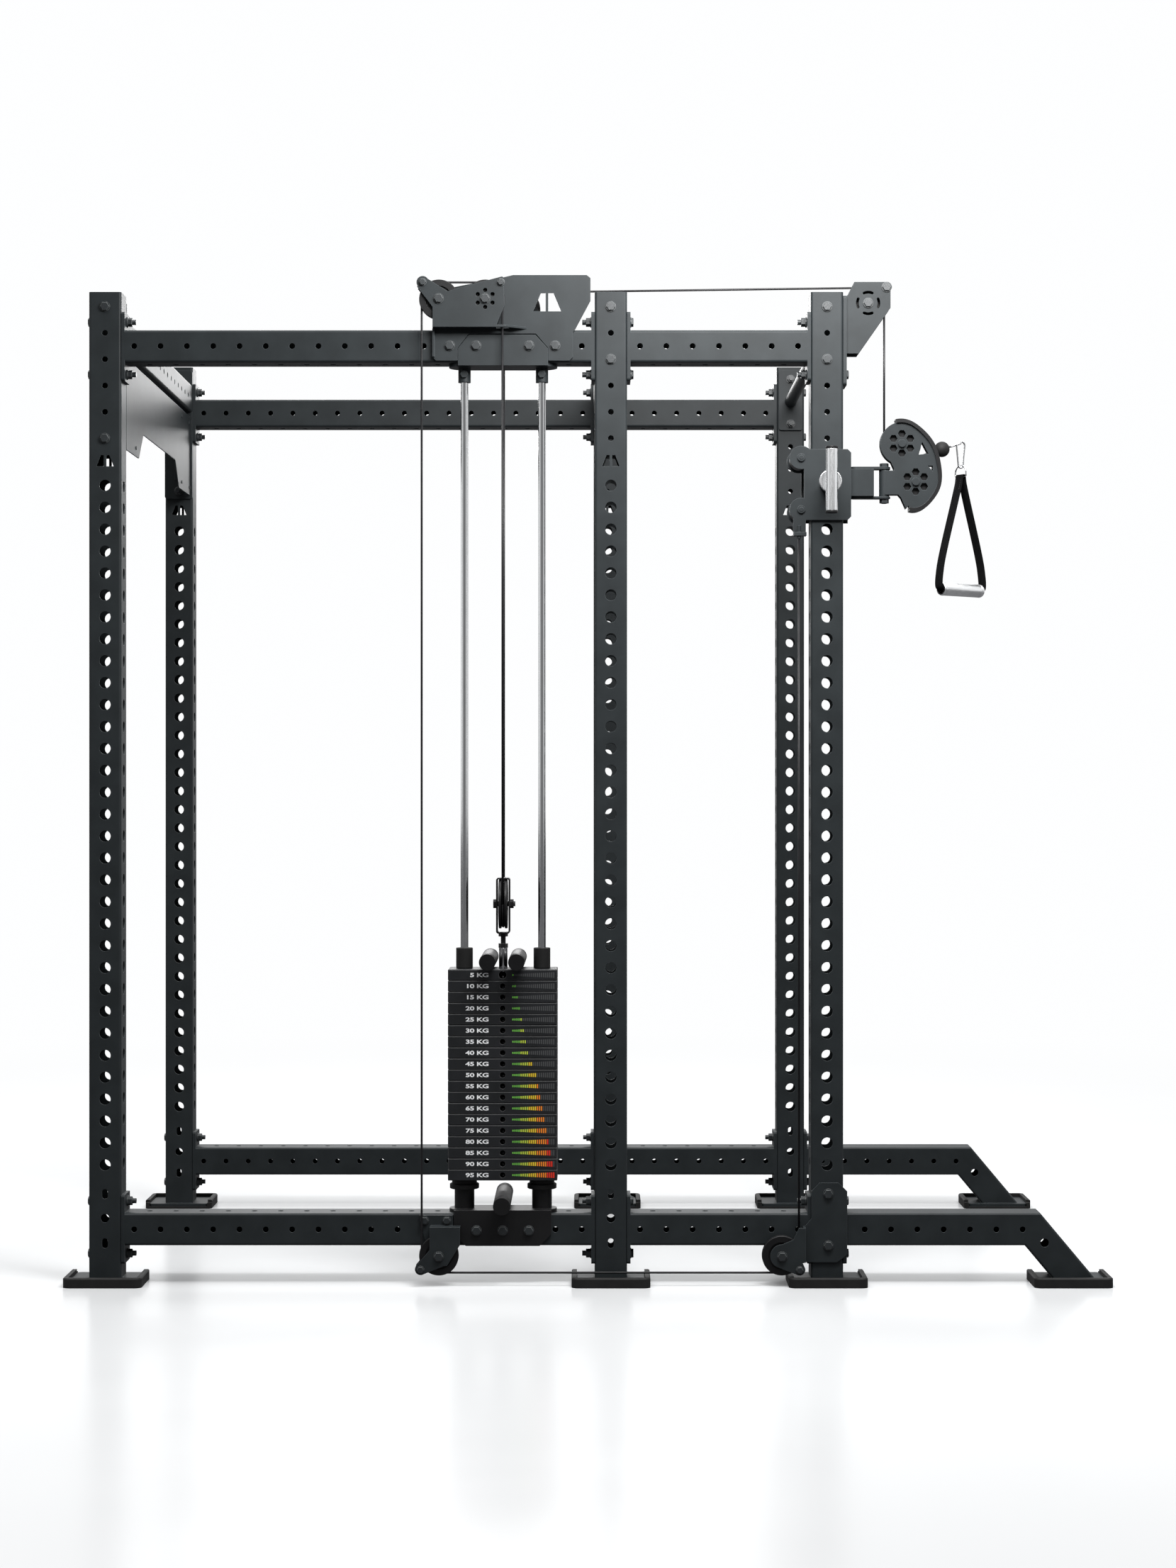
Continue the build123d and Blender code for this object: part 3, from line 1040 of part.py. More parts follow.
save("stack_base", stack_base())
save("stack_buffers", stack_buffers())
save("guide_rods", guide_rods())
save("rod_top_bracket", rod_top_bracket())
save("weight_plates", [weight_plate(STACK_Z0 + i * PLATE_PITCH, 6.5) for i in range(STACK_PLATES - 1)])
save("head_back_plate", head_back_plate())
save("head_front_plate", head_front_plate())
save("rear_head_bracket", rear_head_bracket())
save("corner_bracket", corner_bracket())
save("base_left_bracket", base_left_bracket())
save("base_right_bracket", base_right_bracket())
save("head_left_pulley", pulley_y(*HEAD_LEFT, Q_FRONT))
save("head_centre_pulley", pulley_y(*HEAD_CENTRE, Q_FRONT))
save("rear_head_pulley", pulley_y(*REAR_HEAD, Q_REAR))
save("corner_pulley", pulley_y(*CORNER, 0))
save("base_left_pulley", pulley_y(*BASE_LEFT, Q_FRONT))
save("base_right_pulley", pulley_y(*BASE_RIGHT, Q_FRONT))

save("top_plate", weight_plate(TOP_PLATE_Z, 9.0))
save("lifting_stem", lifting_stem())
save("head_bumpers", head_bumpers())
save("head_band_pegs", [band_peg(STACK_X + side * 33.4, STACK_Z1 + 20.5, 19.0, -115, 115) for side in (-1, 1)])
save("pulley_yoke", pulley_yoke())
stack_pulley = pulley(STACK_PULLEY_R, STACK_WRAP_R, STACK_PULLEY_W, AXLE_R + RUN_GAP)
save("stack_pulley", Pos(STACK_X, Y_NEAR, STACK_PULLEY_Z) * Rot(0, 90, 0) * stack_pulley)

save("trolley_carriage", trolley_carriage())
save("trolley_roller_upper", trolley_roller(ROLLER_Z[0]))
save("trolley_roller_lower", trolley_roller(ROLLER_Z[1]))
save("lock_pin", lock_pin())
save("lock_spring", lock_spring())
save("swivel_head", swivel_head())
save("swivel_pulley_upper", pulley_y(*SWIVEL_UPPER, 0))
save("swivel_pulley_lower", pulley_y(*SWIVEL_LOWER, 0))
save("stop_ball", stop_ball())
save("carabiner", carabiner())
save("carabiner_gate", carabiner_gate())
save("handle_strap", handle_strap())
save("handle_grip", handle_grip())

save("cable_fixed_runs", fixed_cables())
save("cable_stack_strands", stack_cables())
save("cable_stack_wrap", stack_wrap())
save("cable_drop", cable([(SWIVEL_X, Y_NEAR, CORNER[1] - 1), (SWIVEL_X, Y_NEAR, SWIVEL_UPPER[1] + 1)], 0))
save("cable_return", cable([
    (ANCHOR_X, Y_NEAR + Q_FRONT, ANCHOR_Z - 7), (ANCHOR_X, Y_NEAR + Q_FRONT, BASE_RIGHT[1] + 1)], 0))
save("cable_handle", handle_cable())
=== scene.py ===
"""Looks of the power cage and its cable station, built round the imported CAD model. Metres."""

import json
import math

import bmesh
import bpy
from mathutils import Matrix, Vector

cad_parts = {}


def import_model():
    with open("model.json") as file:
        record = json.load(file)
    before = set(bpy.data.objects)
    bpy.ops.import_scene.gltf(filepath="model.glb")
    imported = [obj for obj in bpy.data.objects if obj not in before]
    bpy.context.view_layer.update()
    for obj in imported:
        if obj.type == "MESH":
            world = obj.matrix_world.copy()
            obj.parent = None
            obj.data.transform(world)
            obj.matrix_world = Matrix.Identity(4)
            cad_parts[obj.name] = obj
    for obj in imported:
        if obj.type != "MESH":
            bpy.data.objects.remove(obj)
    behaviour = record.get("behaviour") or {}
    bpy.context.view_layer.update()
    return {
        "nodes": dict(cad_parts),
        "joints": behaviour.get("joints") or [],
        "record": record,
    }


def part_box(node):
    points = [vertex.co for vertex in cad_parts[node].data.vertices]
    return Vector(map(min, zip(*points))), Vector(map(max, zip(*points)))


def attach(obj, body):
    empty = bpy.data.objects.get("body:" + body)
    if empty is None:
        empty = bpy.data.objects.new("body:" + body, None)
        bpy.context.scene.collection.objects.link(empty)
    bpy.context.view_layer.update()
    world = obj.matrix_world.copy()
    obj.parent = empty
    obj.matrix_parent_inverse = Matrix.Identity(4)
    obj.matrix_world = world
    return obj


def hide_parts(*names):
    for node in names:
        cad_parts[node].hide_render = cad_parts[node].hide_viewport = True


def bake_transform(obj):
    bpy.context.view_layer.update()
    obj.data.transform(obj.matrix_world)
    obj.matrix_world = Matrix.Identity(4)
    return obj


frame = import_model()
NODES = frame["nodes"]
JOINTS = {joint["name"]: joint for joint in frame["joints"]}
SCENE = bpy.context.scene


def joint_at(name):
    return Vector(JOINTS[name]["pos_m"])


def joint_axis(name):
    return Vector(JOINTS[name]["axis"]).normalized()


# ---- material helpers ---------------------------------------------------------------------
def new_material(name, color, metallic, roughness, specular=0.5):
    material = bpy.data.materials.new(name)
    material.use_nodes = True
    shader = material.node_tree.nodes["Principled BSDF"]
    shader.inputs["Base Color"].default_value = (*color, 1)
    shader.inputs["Metallic"].default_value = metallic
    shader.inputs["Roughness"].default_value = roughness
    shader.inputs["Specular IOR Level"].default_value = specular
    return material, material.node_tree, shader


def noise(tree, scale, detail=4.0, stretch=(1, 1, 1), coordinate="Object"):
    """Noise factor over the part, in noise cells to the metre."""
    place = tree.nodes.new("ShaderNodeTexCoord")
    mapping = tree.nodes.new("ShaderNodeMapping")
    mapping.inputs["Scale"].default_value = stretch
    texture = tree.nodes.new("ShaderNodeTexNoise")
    texture.inputs["Scale"].default_value = scale
    texture.inputs["Detail"].default_value = detail
    tree.links.new(place.outputs[coordinate], mapping.inputs["Vector"])
    tree.links.new(mapping.outputs["Vector"], texture.inputs["Vector"])
    return texture.outputs["Fac"]


def ramp(tree, source, low, high, low_color, high_color):
    node = tree.nodes.new("ShaderNodeValToRGB")
    first, last = node.color_ramp.elements
    first.position = low
    last.position = high
    first.color = (*low_color, 1)
    last.color = (*high_color, 1)
    tree.links.new(source, node.inputs["Fac"])
    return node.outputs["Color"]


def spread(tree, source, low, high, source_low=0.0, source_high=1.0):
    """Map a value from its own range to another, held at the ends."""
    node = tree.nodes.new("ShaderNodeMapRange")
    node.inputs["From Min"].default_value = source_low
    node.inputs["From Max"].default_value = source_high
    node.inputs["To Min"].default_value = low
    node.inputs["To Max"].default_value = high
    tree.links.new(source, node.inputs["Value"])
    return node.outputs["Result"]


EDGE_STARTS = 0.995         # cosine between the rounded and the flat normal
EDGE_FULL = 0.90


def soft_edges(tree, shader, radius, height, strength, distance):
    """Rounded edges under a fine surface texture. The result is a mask that is 1 along the edges."""
    bevel = tree.nodes.new("ShaderNodeBevel")
    bevel.samples = 4
    bevel.inputs["Radius"].default_value = radius
    bump = tree.nodes.new("ShaderNodeBump")
    bump.inputs["Strength"].default_value = strength
    bump.inputs["Distance"].default_value = distance
    tree.links.new(height, bump.inputs["Height"])
    tree.links.new(bevel.outputs["Normal"], bump.inputs["Normal"])
    tree.links.new(bump.outputs["Normal"], shader.inputs["Normal"])
    geometry = tree.nodes.new("ShaderNodeNewGeometry")
    dot = tree.nodes.new("ShaderNodeVectorMath")
    dot.operation = "DOT_PRODUCT"
    tree.links.new(bevel.outputs["Normal"], dot.inputs[0])
    tree.links.new(geometry.outputs["Normal"], dot.inputs[1])
    return spread(tree, dot.outputs["Value"], 0.0, 1.0, EDGE_STARTS, EDGE_FULL)


def mix_color(tree, factor, base, top):
    mix = tree.nodes.new("ShaderNodeMix")
    mix.data_type = "RGBA"
    mix.inputs["B"].default_value = (*top, 1)
    tree.links.new(factor, mix.inputs["Factor"])
    tree.links.new(base, mix.inputs["A"])
    return mix.outputs["Result"]


COAT_CLOUDS = 14            # noise cells to the metre
MOULD_CLOUDS = 30
DRAWN_LINES = 900
INK_WEAR = 500


def coated(name, dark, light, edge_wear_and_highlight, roughness, grain, radius=0.0014, strength=0.25, specular=0.22):
    """Powder coat: fine pebbled texture, slight cloudiness, and edges painted lighter, as edge wear and as
    a painted edge highlight.
    """
    material, tree, shader = new_material(name, dark, 0.0, roughness, specular)
    cloud = ramp(tree, noise(tree, COAT_CLOUDS, 3), 0.35, 0.65, dark, light)
    texture = noise(tree, grain, 2)
    edge = soft_edges(tree, shader, radius, texture, strength, 0.0003)
    # Lighter colour along the edges: edge wear and a painted edge highlight.
    tree.links.new(mix_color(tree, edge, cloud, edge_wear_and_highlight), shader.inputs["Base Color"])
    tree.links.new(spread(tree, texture, roughness - 0.07, roughness + 0.10), shader.inputs["Roughness"])
    return material


def polished(name, color, roughness, stretch, strength=0.12, radius=0.0006):
    """Bare or plated metal with fine drawn lines along one direction."""
    material, tree, shader = new_material(name, color, 1.0, roughness)
    lines = noise(tree, DRAWN_LINES, 3, stretch)
    tint = tuple(c * 0.86 for c in color)
    tree.links.new(ramp(tree, lines, 0.3, 0.7, tint, color), shader.inputs["Base Color"])
    soft_edges(tree, shader, radius, lines, strength, 0.0001)
    tree.links.new(spread(tree, lines, roughness * 0.7, roughness * 1.35), shader.inputs["Roughness"])
    return material


def moulded(name, dark, light, roughness, grain=1400, strength=0.2, radius=0.0008):
    """Moulded plastic or rubber with a fine skin texture, and edges painted lighter, as edge wear and as a
    painted edge highlight.
    """
    material, tree, shader = new_material(name, dark, 0.0, roughness, 0.25)
    skin = noise(tree, grain, 2)
    cloud = ramp(tree, noise(tree, MOULD_CLOUDS, 3), 0.35, 0.65, dark, light)
    edge = soft_edges(tree, shader, radius, skin, strength, 0.0002)
    # The worn colour, lighter along the edges, is edge wear and a painted edge highlight.
    worn = tuple(min(1, c * 1.8 + 0.01) for c in light)
    tree.links.new(mix_color(tree, edge, cloud, worn), shader.inputs["Base Color"])
    tree.links.new(spread(tree, skin, roughness - 0.08, roughness + 0.08), shader.inputs["Roughness"])
    return material


def webbing_material():
    """Plain-woven nylon: ribs across the strap and strands along it, from the strap's own UVs."""
    material, tree, shader = new_material("webbing", (0.004, 0.004, 0.0045), 0.0, 0.85, 0.06)
    place = tree.nodes.new("ShaderNodeTexCoord")
    waves = []
    for direction, scale in (("X", 420.0), ("Y", 260.0)):
        wave = tree.nodes.new("ShaderNodeTexWave")
        wave.bands_direction = direction
        wave.inputs["Scale"].default_value = scale
        wave.inputs["Distortion"].default_value = 0.6
        tree.links.new(place.outputs["UV"], wave.inputs["Vector"])
        waves.append(wave.outputs["Fac"])
    weave = tree.nodes.new("ShaderNodeMath")
    weave.operation = "MULTIPLY"
    tree.links.new(waves[0], weave.inputs[0])
    tree.links.new(waves[1], weave.inputs[1])
    color = ramp(tree, weave.outputs["Value"], 0.1, 0.8, (0.002, 0.002, 0.0022), (0.010, 0.010, 0.0105))
    tree.links.new(color, shader.inputs["Base Color"])
    bump = tree.nodes.new("ShaderNodeBump")
    bump.inputs["Strength"].default_value = 0.7
    bump.inputs["Distance"].default_value = 0.0005
    tree.links.new(weave.outputs["Value"], bump.inputs["Height"])
    tree.links.new(bump.outputs["Normal"], shader.inputs["Normal"])
    return material


def print_material(name, color):
    """Screen-printed ink with faint wear."""
    material, tree, shader = new_material(name, color, 0.0, 0.5, 0.3)
    worn = tuple(c * 0.82 for c in color)
    patches = noise(tree, INK_WEAR, 3)
    tree.links.new(ramp(tree, patches, 0.3, 0.55, worn, color), shader.inputs["Base Color"])
    return material


# Each coat's third colour is its edge colour: edge wear and a painted edge highlight, lightest on the stack
# plates and the fasteners.
PAINT = coated(
    "frame_paint", (0.014, 0.0172, 0.0188), (0.019, 0.0232, 0.0252), (0.065, 0.075, 0.080), 0.48, 1500)
BLACK = coated(
    "black_parts", (0.006, 0.006, 0.0065), (0.009, 0.009, 0.0095), (0.04, 0.04, 0.042), 0.42, 1500)
STACK = coated(
    "stack_paint", (0.010, 0.011, 0.012), (0.015, 0.016, 0.018), (0.16, 0.16, 0.16), 0.48, 1100, 0.0012)
FASTENER = coated(
    "fastener", (0.017, 0.020, 0.022), (0.023, 0.027, 0.029), (0.14, 0.15, 0.15), 0.36, 2500, 0.0009,
    specular=0.4)
CHROME = polished("chrome", (0.82, 0.83, 0.84), 0.10, (1, 1, 0.05), 0.05)
ALUMINIUM = polished("aluminium", (0.93, 0.94, 0.95), 0.26, (1, 1, 0.05))
GRIP_METAL = polished("grip_metal", (0.95, 0.96, 0.97), 0.36, (0.08, 0.08, 1), 0.25)
STEEL = polished("steel", (0.45, 0.46, 0.47), 0.32, (1, 0.06, 1))
RUBBER = moulded("rubber", (0.007, 0.007, 0.007), (0.011, 0.011, 0.011), 0.66, 900, 0.35, 0.0012)
PLASTIC = moulded("moulded_plastic", (0.004, 0.004, 0.0045), (0.006, 0.006, 0.0065), 0.40)
JACKET = moulded("cable_jacket", (0.008, 0.008, 0.009), (0.014, 0.014, 0.015), 0.35, 2500, 0.15, 0.0003)
WEBBING = webbing_material()
THREAD = moulded("thread", (0.012, 0.012, 0.013), (0.03, 0.03, 0.032), 0.8, 4000, 0.3, 0.0002)
LABEL_WHITE = print_material("label_white", (0.86, 0.87, 0.88))
BAR_UNLIT = print_material("bar_unlit", (0.060, 0.062, 0.064))
BAR_COLORS = [
    print_material("bar_green", (0.16, 0.50, 0.07)),
    print_material("bar_lime", (0.50, 0.62, 0.06)),
    print_material("bar_yellow", (0.80, 0.56, 0.03)),
    print_material("bar_orange", (0.85, 0.24, 0.02)),
    print_material("bar_red", (0.80, 0.035, 0.015))]

SLOT_MATERIALS = {
    "frame_paint": PAINT, "black_parts": BLACK, "stack_paint": STACK, "fastener": FASTENER,
    "chrome": CHROME, "aluminium": ALUMINIUM, "rubber": RUBBER, "moulded_plastic": PLASTIC,
    "cable_jacket": JACKET, "webbing": WEBBING}


def finish_cad_nodes():
    """Every CAD node takes the material of its record slot."""
    for part in frame["record"]["subparts"]:
        mesh = NODES[part["node"]].data
        mesh.materials.clear()
        mesh.materials.append(SLOT_MATERIALS[part["material_slot"]])
        for polygon in mesh.polygons:
            polygon.material_index = 0


def second_finish(node, material, chosen):
    """Faces of a CAD node that the test picks get another material."""
    mesh = NODES[node].data
    mesh.materials.append(material)
    index = len(mesh.materials) - 1
    for polygon in mesh.polygons:
        if chosen(polygon):
            polygon.material_index = index


finish_cad_nodes()

# Some pieces of a node differ from its slot: the lock pin's caps, the stud and nuts on the chrome
# stem, the eye in the stop ball, the pulleys' bearings and, further down, the swivel's guard.
LOCK_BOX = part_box("lock_pin")
CAP_T = 0.0062
second_finish("lock_pin", PLASTIC, lambda p: not LOCK_BOX[0].z + CAP_T < p.center.z < LOCK_BOX[1].z - CAP_T)
STEM_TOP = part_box("head_bumpers")[1].z
second_finish("lifting_stem", BLACK, lambda p: p.center.z > STEM_TOP)

EXIT_DIR = joint_axis("handle_pull")
EYE_TIP = joint_at("handle_swing")
EYE_REACH = 0.046
BALL_CENTRE = EYE_TIP - EXIT_DIR * EYE_REACH
BALL_R = 0.018
CLEAR_OF_BALL = BALL_R * 1.03
second_finish("stop_ball", CHROME, lambda p: (p.center - BALL_CENTRE).length > CLEAR_OF_BALL)

BEARING_R = 0.011
for pulley, spin in (
        ("head_left_pulley", "head_left_spin"), ("head_centre_pulley", "head_centre_spin"),
        ("rear_head_pulley", "rear_head_spin"), ("corner_pulley", "corner_spin"),
        ("base_left_pulley", "base_left_spin"), ("base_right_pulley", "base_right_spin"),
        ("swivel_pulley_upper", "swivel_upper_spin"), ("swivel_pulley_lower", "swivel_lower_spin"),
        ("stack_pulley", "stack_pulley_spin")):
    centre = joint_at(spin)
    axis = joint_axis(spin)

    def in_bearing(polygon, centre=centre, axis=axis):
        offset = polygon.center - centre
        return (offset - axis * offset.dot(axis)).length < BEARING_R
    second_finish(pulley, STEEL, in_bearing)


# ---- mesh helpers -------------------------------------------------------------------------
UP = Vector((0, 0, 1))


def add_object(name, mesh, material, body, slot, *nodes):
    obj = bpy.data.objects.new(name, mesh)
    SCENE.collection.objects.link(obj)
    if material is not None:
        mesh.materials.append(material)
    if body is not None:
        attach(obj, body)
    if nodes:
        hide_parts(*nodes)
    return obj


def frames_along(points):
    """Right and up directions at each point, carried along the line without twist."""
    tangents = []
    for i in range(len(points)):
        before = points[max(i - 1, 0)]
        after = points[min(i + 1, len(points) - 1)]
        tangents.append((after - before).normalized())
    side = tangents[0].orthogonal().normalized()
    result = []
    for tangent in tangents:
        side = (side - tangent * side.dot(tangent)).normalized()
        result.append((side, tangent.cross(side)))
    return result


def ring_of_vertices(bm, centre, side, up, radius, sides):
    ring = []
    for k in range(sides):
        angle = 2 * math.pi * k / sides
        across = side * radius * math.cos(angle)
        ring.append(bm.verts.new(centre + across + up * radius * math.sin(angle)))
    return ring


def join_rings(bm, a, b):
    """Smooth faces between two rings with the same number of vertices."""
    count = len(a)
    faces = []
    for k in range(count):
        face = bm.faces.new((a[k], a[(k + 1) % count], b[(k + 1) % count], b[k]))
        face.smooth = True
        faces.append(face)
    return faces


def finished_mesh(bm, name):
    bmesh.ops.recalc_face_normals(bm, faces=bm.faces)
    mesh = bpy.data.meshes.new(name)
    bm.to_mesh(mesh)
    bm.free()
    return mesh


def tube_mesh(name, points, radius, sides=20):
    """Round tube with capped ends and one ring at each point."""
    bm = bmesh.new()
    rings = []
    for point, (side, up) in zip(points, frames_along(points)):
        rings.append(ring_of_vertices(bm, point, side, up, radius, sides))
    for a, b in zip(rings, rings[1:]):
        join_rings(bm, a, b)
    bm.faces.new(list(reversed(rings[0])))
    bm.faces.new(rings[-1])
    return finished_mesh(bm, name)


def turned(bm, centre, along, profile, sides):
    """Closed profile of (distance along the axis, radius) turned round a level axis."""
    side = Vector((-along.y, along.x, 0))
    rings = [ring_of_vertices(bm, centre + along * x, side, UP, r, sides) for x, r in profile]
    for a, b in zip(rings, rings[1:] + rings[:1]):
        join_rings(bm, a, b)


def add_box(bm, low, high, index):
    x0, y0, z0 = low
    x1, y1, z1 = high
    v = [bm.verts.new(c) for c in (
        (x0, y0, z0), (x1, y0, z0), (x1, y0, z1), (x0, y0, z1),
        (x0, y1, z0), (x1, y1, z0), (x1, y1, z1), (x0, y1, z1))]
    for corners in ((0, 1, 2, 3), (5, 4, 7, 6), (4, 0, 3, 7), (1, 5, 6, 2), (3, 2, 6, 7), (4, 5, 1, 0)):
        bm.faces.new([v[c] for c in corners]).material_index = index


# ---- cables -------------------------------------------------------------------------------
CABLE_R = 0.0025


def strand(name, low, high, body_low, body_high, *nodes):
    """Straight cable between two points."""
    obj = add_object(name, tube_mesh(name, [low, high], CABLE_R), JACKET, None, "cable_jacket", *nodes)
    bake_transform(obj)
    return obj


def straight_cables():
    drop_low, drop_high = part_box("cable_drop")
    x = joint_at("swivel_yaw").x
    y = joint_at("corner_spin").y
    strand("cable_drop_strand", Vector((x, y, drop_high.z)), Vector((x, y, drop_low.z)),
           "frame", "trolley", "cable_drop")
    low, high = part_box("cable_return")
    middle = (low + high) / 2
    strand("cable_return_strand", Vector((middle.x, middle.y, low.z)), Vector((middle.x, middle.y, high.z)),
           "frame", "trolley", "cable_return")
    low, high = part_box("cable_stack_strands")
    wrap_low, wrap_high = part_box("cable_stack_wrap")
    wrap_r = (wrap_high.y - wrap_low.y) / 2 - CABLE_R
    stack = joint_at("stack_pulley_spin")
    for name, over, side, nodes in (
            ("cable_front_strand", "head_centre_spin", -1, ("cable_stack_strands",)),
            ("cable_rear_strand", "rear_head_spin", 1, ())):
        top = Vector((stack.x, joint_at(over).y, high.z))
        foot = Vector((stack.x, stack.y + side * wrap_r, low.z))
        strand(name, top, foot, "frame", "stack_head", *nodes)


def handle_cable():
    """Under the upper swivel pulley and straight out to the stop ball."""
    centre = joint_at("swivel_upper_spin")
    wrap_r = centre.x - joint_at("swivel_yaw").x
    exit_angle = math.asin(EXIT_DIR.z)
    steps = 30
    ball_gap = 0.0004
    points = []
    for i in range(steps + 1):
        angle = math.pi + (math.pi / 2 + exit_angle) * i / steps
        points.append(centre + Vector((math.cos(angle), 0, math.sin(angle))) * wrap_r)
    tangent = points[-1].copy()
    end = BALL_CENTRE - EXIT_DIR * (BALL_R + ball_gap)
    points.append(end)
    obj = add_object("cable_handle_run", tube_mesh("cable_handle_run", points, CABLE_R), JACKET, None,
                     "cable_jacket", "cable_handle")
    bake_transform(obj)


def ferrule(name, point, direction, body):
    """Crimped sleeve where the cable meets the stop ball."""
    radius = 0.0042
    length = 0.012
    points = [point - direction * length * t for t in (0, 0.08, 0.92, 1)]
    mesh = tube_mesh(name, points, radius)
    return add_object(name, mesh, STEEL, body, "chrome")


FERRULE_SUNK = 0.004
straight_cables()
handle_cable()
ferrule("ball_ferrule", BALL_CENTRE - EXIT_DIR * (BALL_R - FERRULE_SUNK), EXIT_DIR, "cable_end")


def spring():
    """Coil in the place of the lock spring, round the lock pin."""
    low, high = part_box("lock_spring")
    wire_r = 0.0009
    centre = (low + high) / 2
    coil_r = (high.x - low.x) / 2 - wire_r
    turns = 4.5
    per_turn = 24
    count = int(turns * per_turn)
    y0 = low.y + wire_r
    y1 = high.y - wire_r
    points = []
    for i in range(count + 1):
        angle = 2 * math.pi * i / per_turn
        y = y0 + (y1 - y0) * i / count
        points.append(Vector((centre.x + coil_r * math.cos(angle), y, centre.z + coil_r * math.sin(angle))))
    obj = add_object("lock_spring_coil", tube_mesh("lock_spring_coil", points, wire_r, 10), STEEL, None,
                     "chrome", "lock_spring")
    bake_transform(obj)


spring()

# ---- weight stack labels ------------------------------------------------------------------
PLATES_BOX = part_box("weight_plates")
TOP_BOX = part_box("top_plate")
PLATE_PITCH = 0.0257
PLATE_H = TOP_BOX[1].z - TOP_BOX[0].z
FACE_Y = PLATES_BOX[0].y
STACK_MIDDLE = (PLATES_BOX[0].x + PLATES_BOX[1].x) / 2
PRINT_T = 0.00012
TEXT_RIGHT = STACK_MIDDLE - 0.0325
TEXT_H = 0.0100
TEXT_W = 0.0530             # of the five characters of a two-figure weight
BAR_LEFT = STACK_MIDDLE + 0.0225
BAR_PITCH = 0.00472
BAR_W = 0.0029
BAR_COUNT = 21
BAR_LOW = 0.0041
BAR_HIGH = 0.0131
LIT = (1, 2, 3, 4, 5, 6, 7, 8, 10, 12, 13, 14, 15, 16, 17, 18, 19, 20, 21)


def bar_color(i):
    """Green at the left through lime, yellow and orange to red at the right."""
    limits = (4, 8, 12, 17)
    return sum(i >= limit for limit in limits)


def text_outline(words):
    """Flat mesh of a plain word, at its own size with its left end at zero."""
    curve = bpy.data.curves.new("words", "FONT")
    curve.body = words
    curve.size = 1.0
    curve.offset = 0.030
    curve.space_character = 0.98
    curve.extrude = 0.5
    curve.resolution_u = 4
    obj = bpy.data.objects.new("words", curve)
    SCENE.collection.objects.link(obj)
    bpy.context.view_layer.update()
    graph = bpy.context.evaluated_depsgraph_get()
    mesh = bpy.data.meshes.new_from_object(obj.evaluated_get(graph))
    bpy.data.objects.remove(obj)
    bpy.data.curves.remove(curve)
    return mesh


def span(mesh, axis):
    values = [v.co[axis] for v in mesh.vertices]
    return min(values), max(values)


def weight_label(bm, kilograms, z):
    """White figures, right aligned, standing just proud of a plate's near face."""
    reference = text_outline("95 KG")
    x0, x1 = span(reference, 0)
    z0, z1 = span(reference, 1)
    width_scale = TEXT_W / (x1 - x0)
    height_scale = TEXT_H / (z1 - z0)
    bpy.data.meshes.remove(reference)
    mesh = text_outline(f"{kilograms} KG")
    right = span(mesh, 0)[1]
    middle = (z0 + z1) / 2
    for vertex in mesh.vertices:
        x, up, depth = vertex.co
        y = FACE_Y - PRINT_T if depth > 0 else FACE_Y + PRINT_T
        vertex.co = (TEXT_RIGHT + (x - right) * width_scale, y, z + (up - middle) * height_scale)
    for polygon in mesh.polygons:
        polygon.material_index = 0
    bm.from_mesh(mesh)
    bpy.data.meshes.remove(mesh)


def weight_bars(bm, lit, z):
    for i in range(BAR_COUNT):
        x = BAR_LEFT + i * BAR_PITCH
        half = (BAR_LOW + (BAR_HIGH - BAR_LOW) * i / (BAR_COUNT - 1)) / 2
        index = 2 + bar_color(i) if i < lit else 1
        add_box(bm, (x, FACE_Y - PRINT_T, z - half), (x + BAR_W, FACE_Y + PRINT_T, z + half), index)


def label_object(name, rows, body):
    bm = bmesh.new()
    for kilograms, lit, z in rows:
        weight_label(bm, kilograms, z)
        weight_bars(bm, lit, z)
    bmesh.ops.remove_doubles(bm, verts=bm.verts, dist=1e-7)
    mesh = finished_mesh(bm, name)
    for material in (LABEL_WHITE, BAR_UNLIT, *BAR_COLORS):
        mesh.materials.append(material)
    add_object(name, mesh, None, body, "stack_paint")


def stack_labels():
    rows = []
    for i, lit in enumerate(LIT):
        z = TOP_BOX[1].z - PLATE_H / 2 - i * PLATE_PITCH
        rows.append((5 * (i + 1), lit, z))
    label_object("top_plate_label", rows[:1], "stack_head")
    label_object("weight_labels", rows[1:], "frame")


stack_labels()


# ---- handle -------------------------------------------------------------------------------
def smooth_closed(points, rounds):
    """Corner cutting on a closed line."""
    for _ in range(rounds):
        cut = []
        for a, b in zip(points, points[1:] + points[:1]):
            cut.append(a * 0.75 + b * 0.25)
            cut.append(a * 0.25 + b * 0.75)
        points = cut
    return points


STRAP_HALF_T = 0.0011
STRAP_HALF_W = 0.0125
STRAP_REACH = 0.0722        # from the grip's middle to the strap beside its end
STRAP_SECTION = (
    (-1, 0), (-0.94, 0.75), (-0.80, 1), (0, 1), (0.80, 1), (0.94, 0.75),
    (1, 0), (0.94, -0.75), (0.80, -1), (0, -1), (-0.80, -1), (-0.94, -0.75))
WEAVE_SPAN = 0.05           # of the UV map, across the strap


def strap_line(grip_z):
    """Closed centre line in the plane of the loop: distance along the grip, and height."""
    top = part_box("handle_strap")[1].z - 0.0014
    outline = []
    for x, z in (
            (0.060, grip_z),
            (STRAP_REACH - 0.003, grip_z + 0.0005),
            (STRAP_REACH, grip_z + 0.010),
            (STRAP_REACH - 0.0015, grip_z + 0.030),
            (STRAP_REACH - 0.010, grip_z + 0.075),
            (0.0085, top - 0.028),
            (0.0045, top - 0.008),
            (0.0042, top + 0.0004)):
        outline.append(Vector((x, z)))
    return smooth_closed(outline + [Vector((-p.x, p.y)) for p in reversed(outline)], 3)


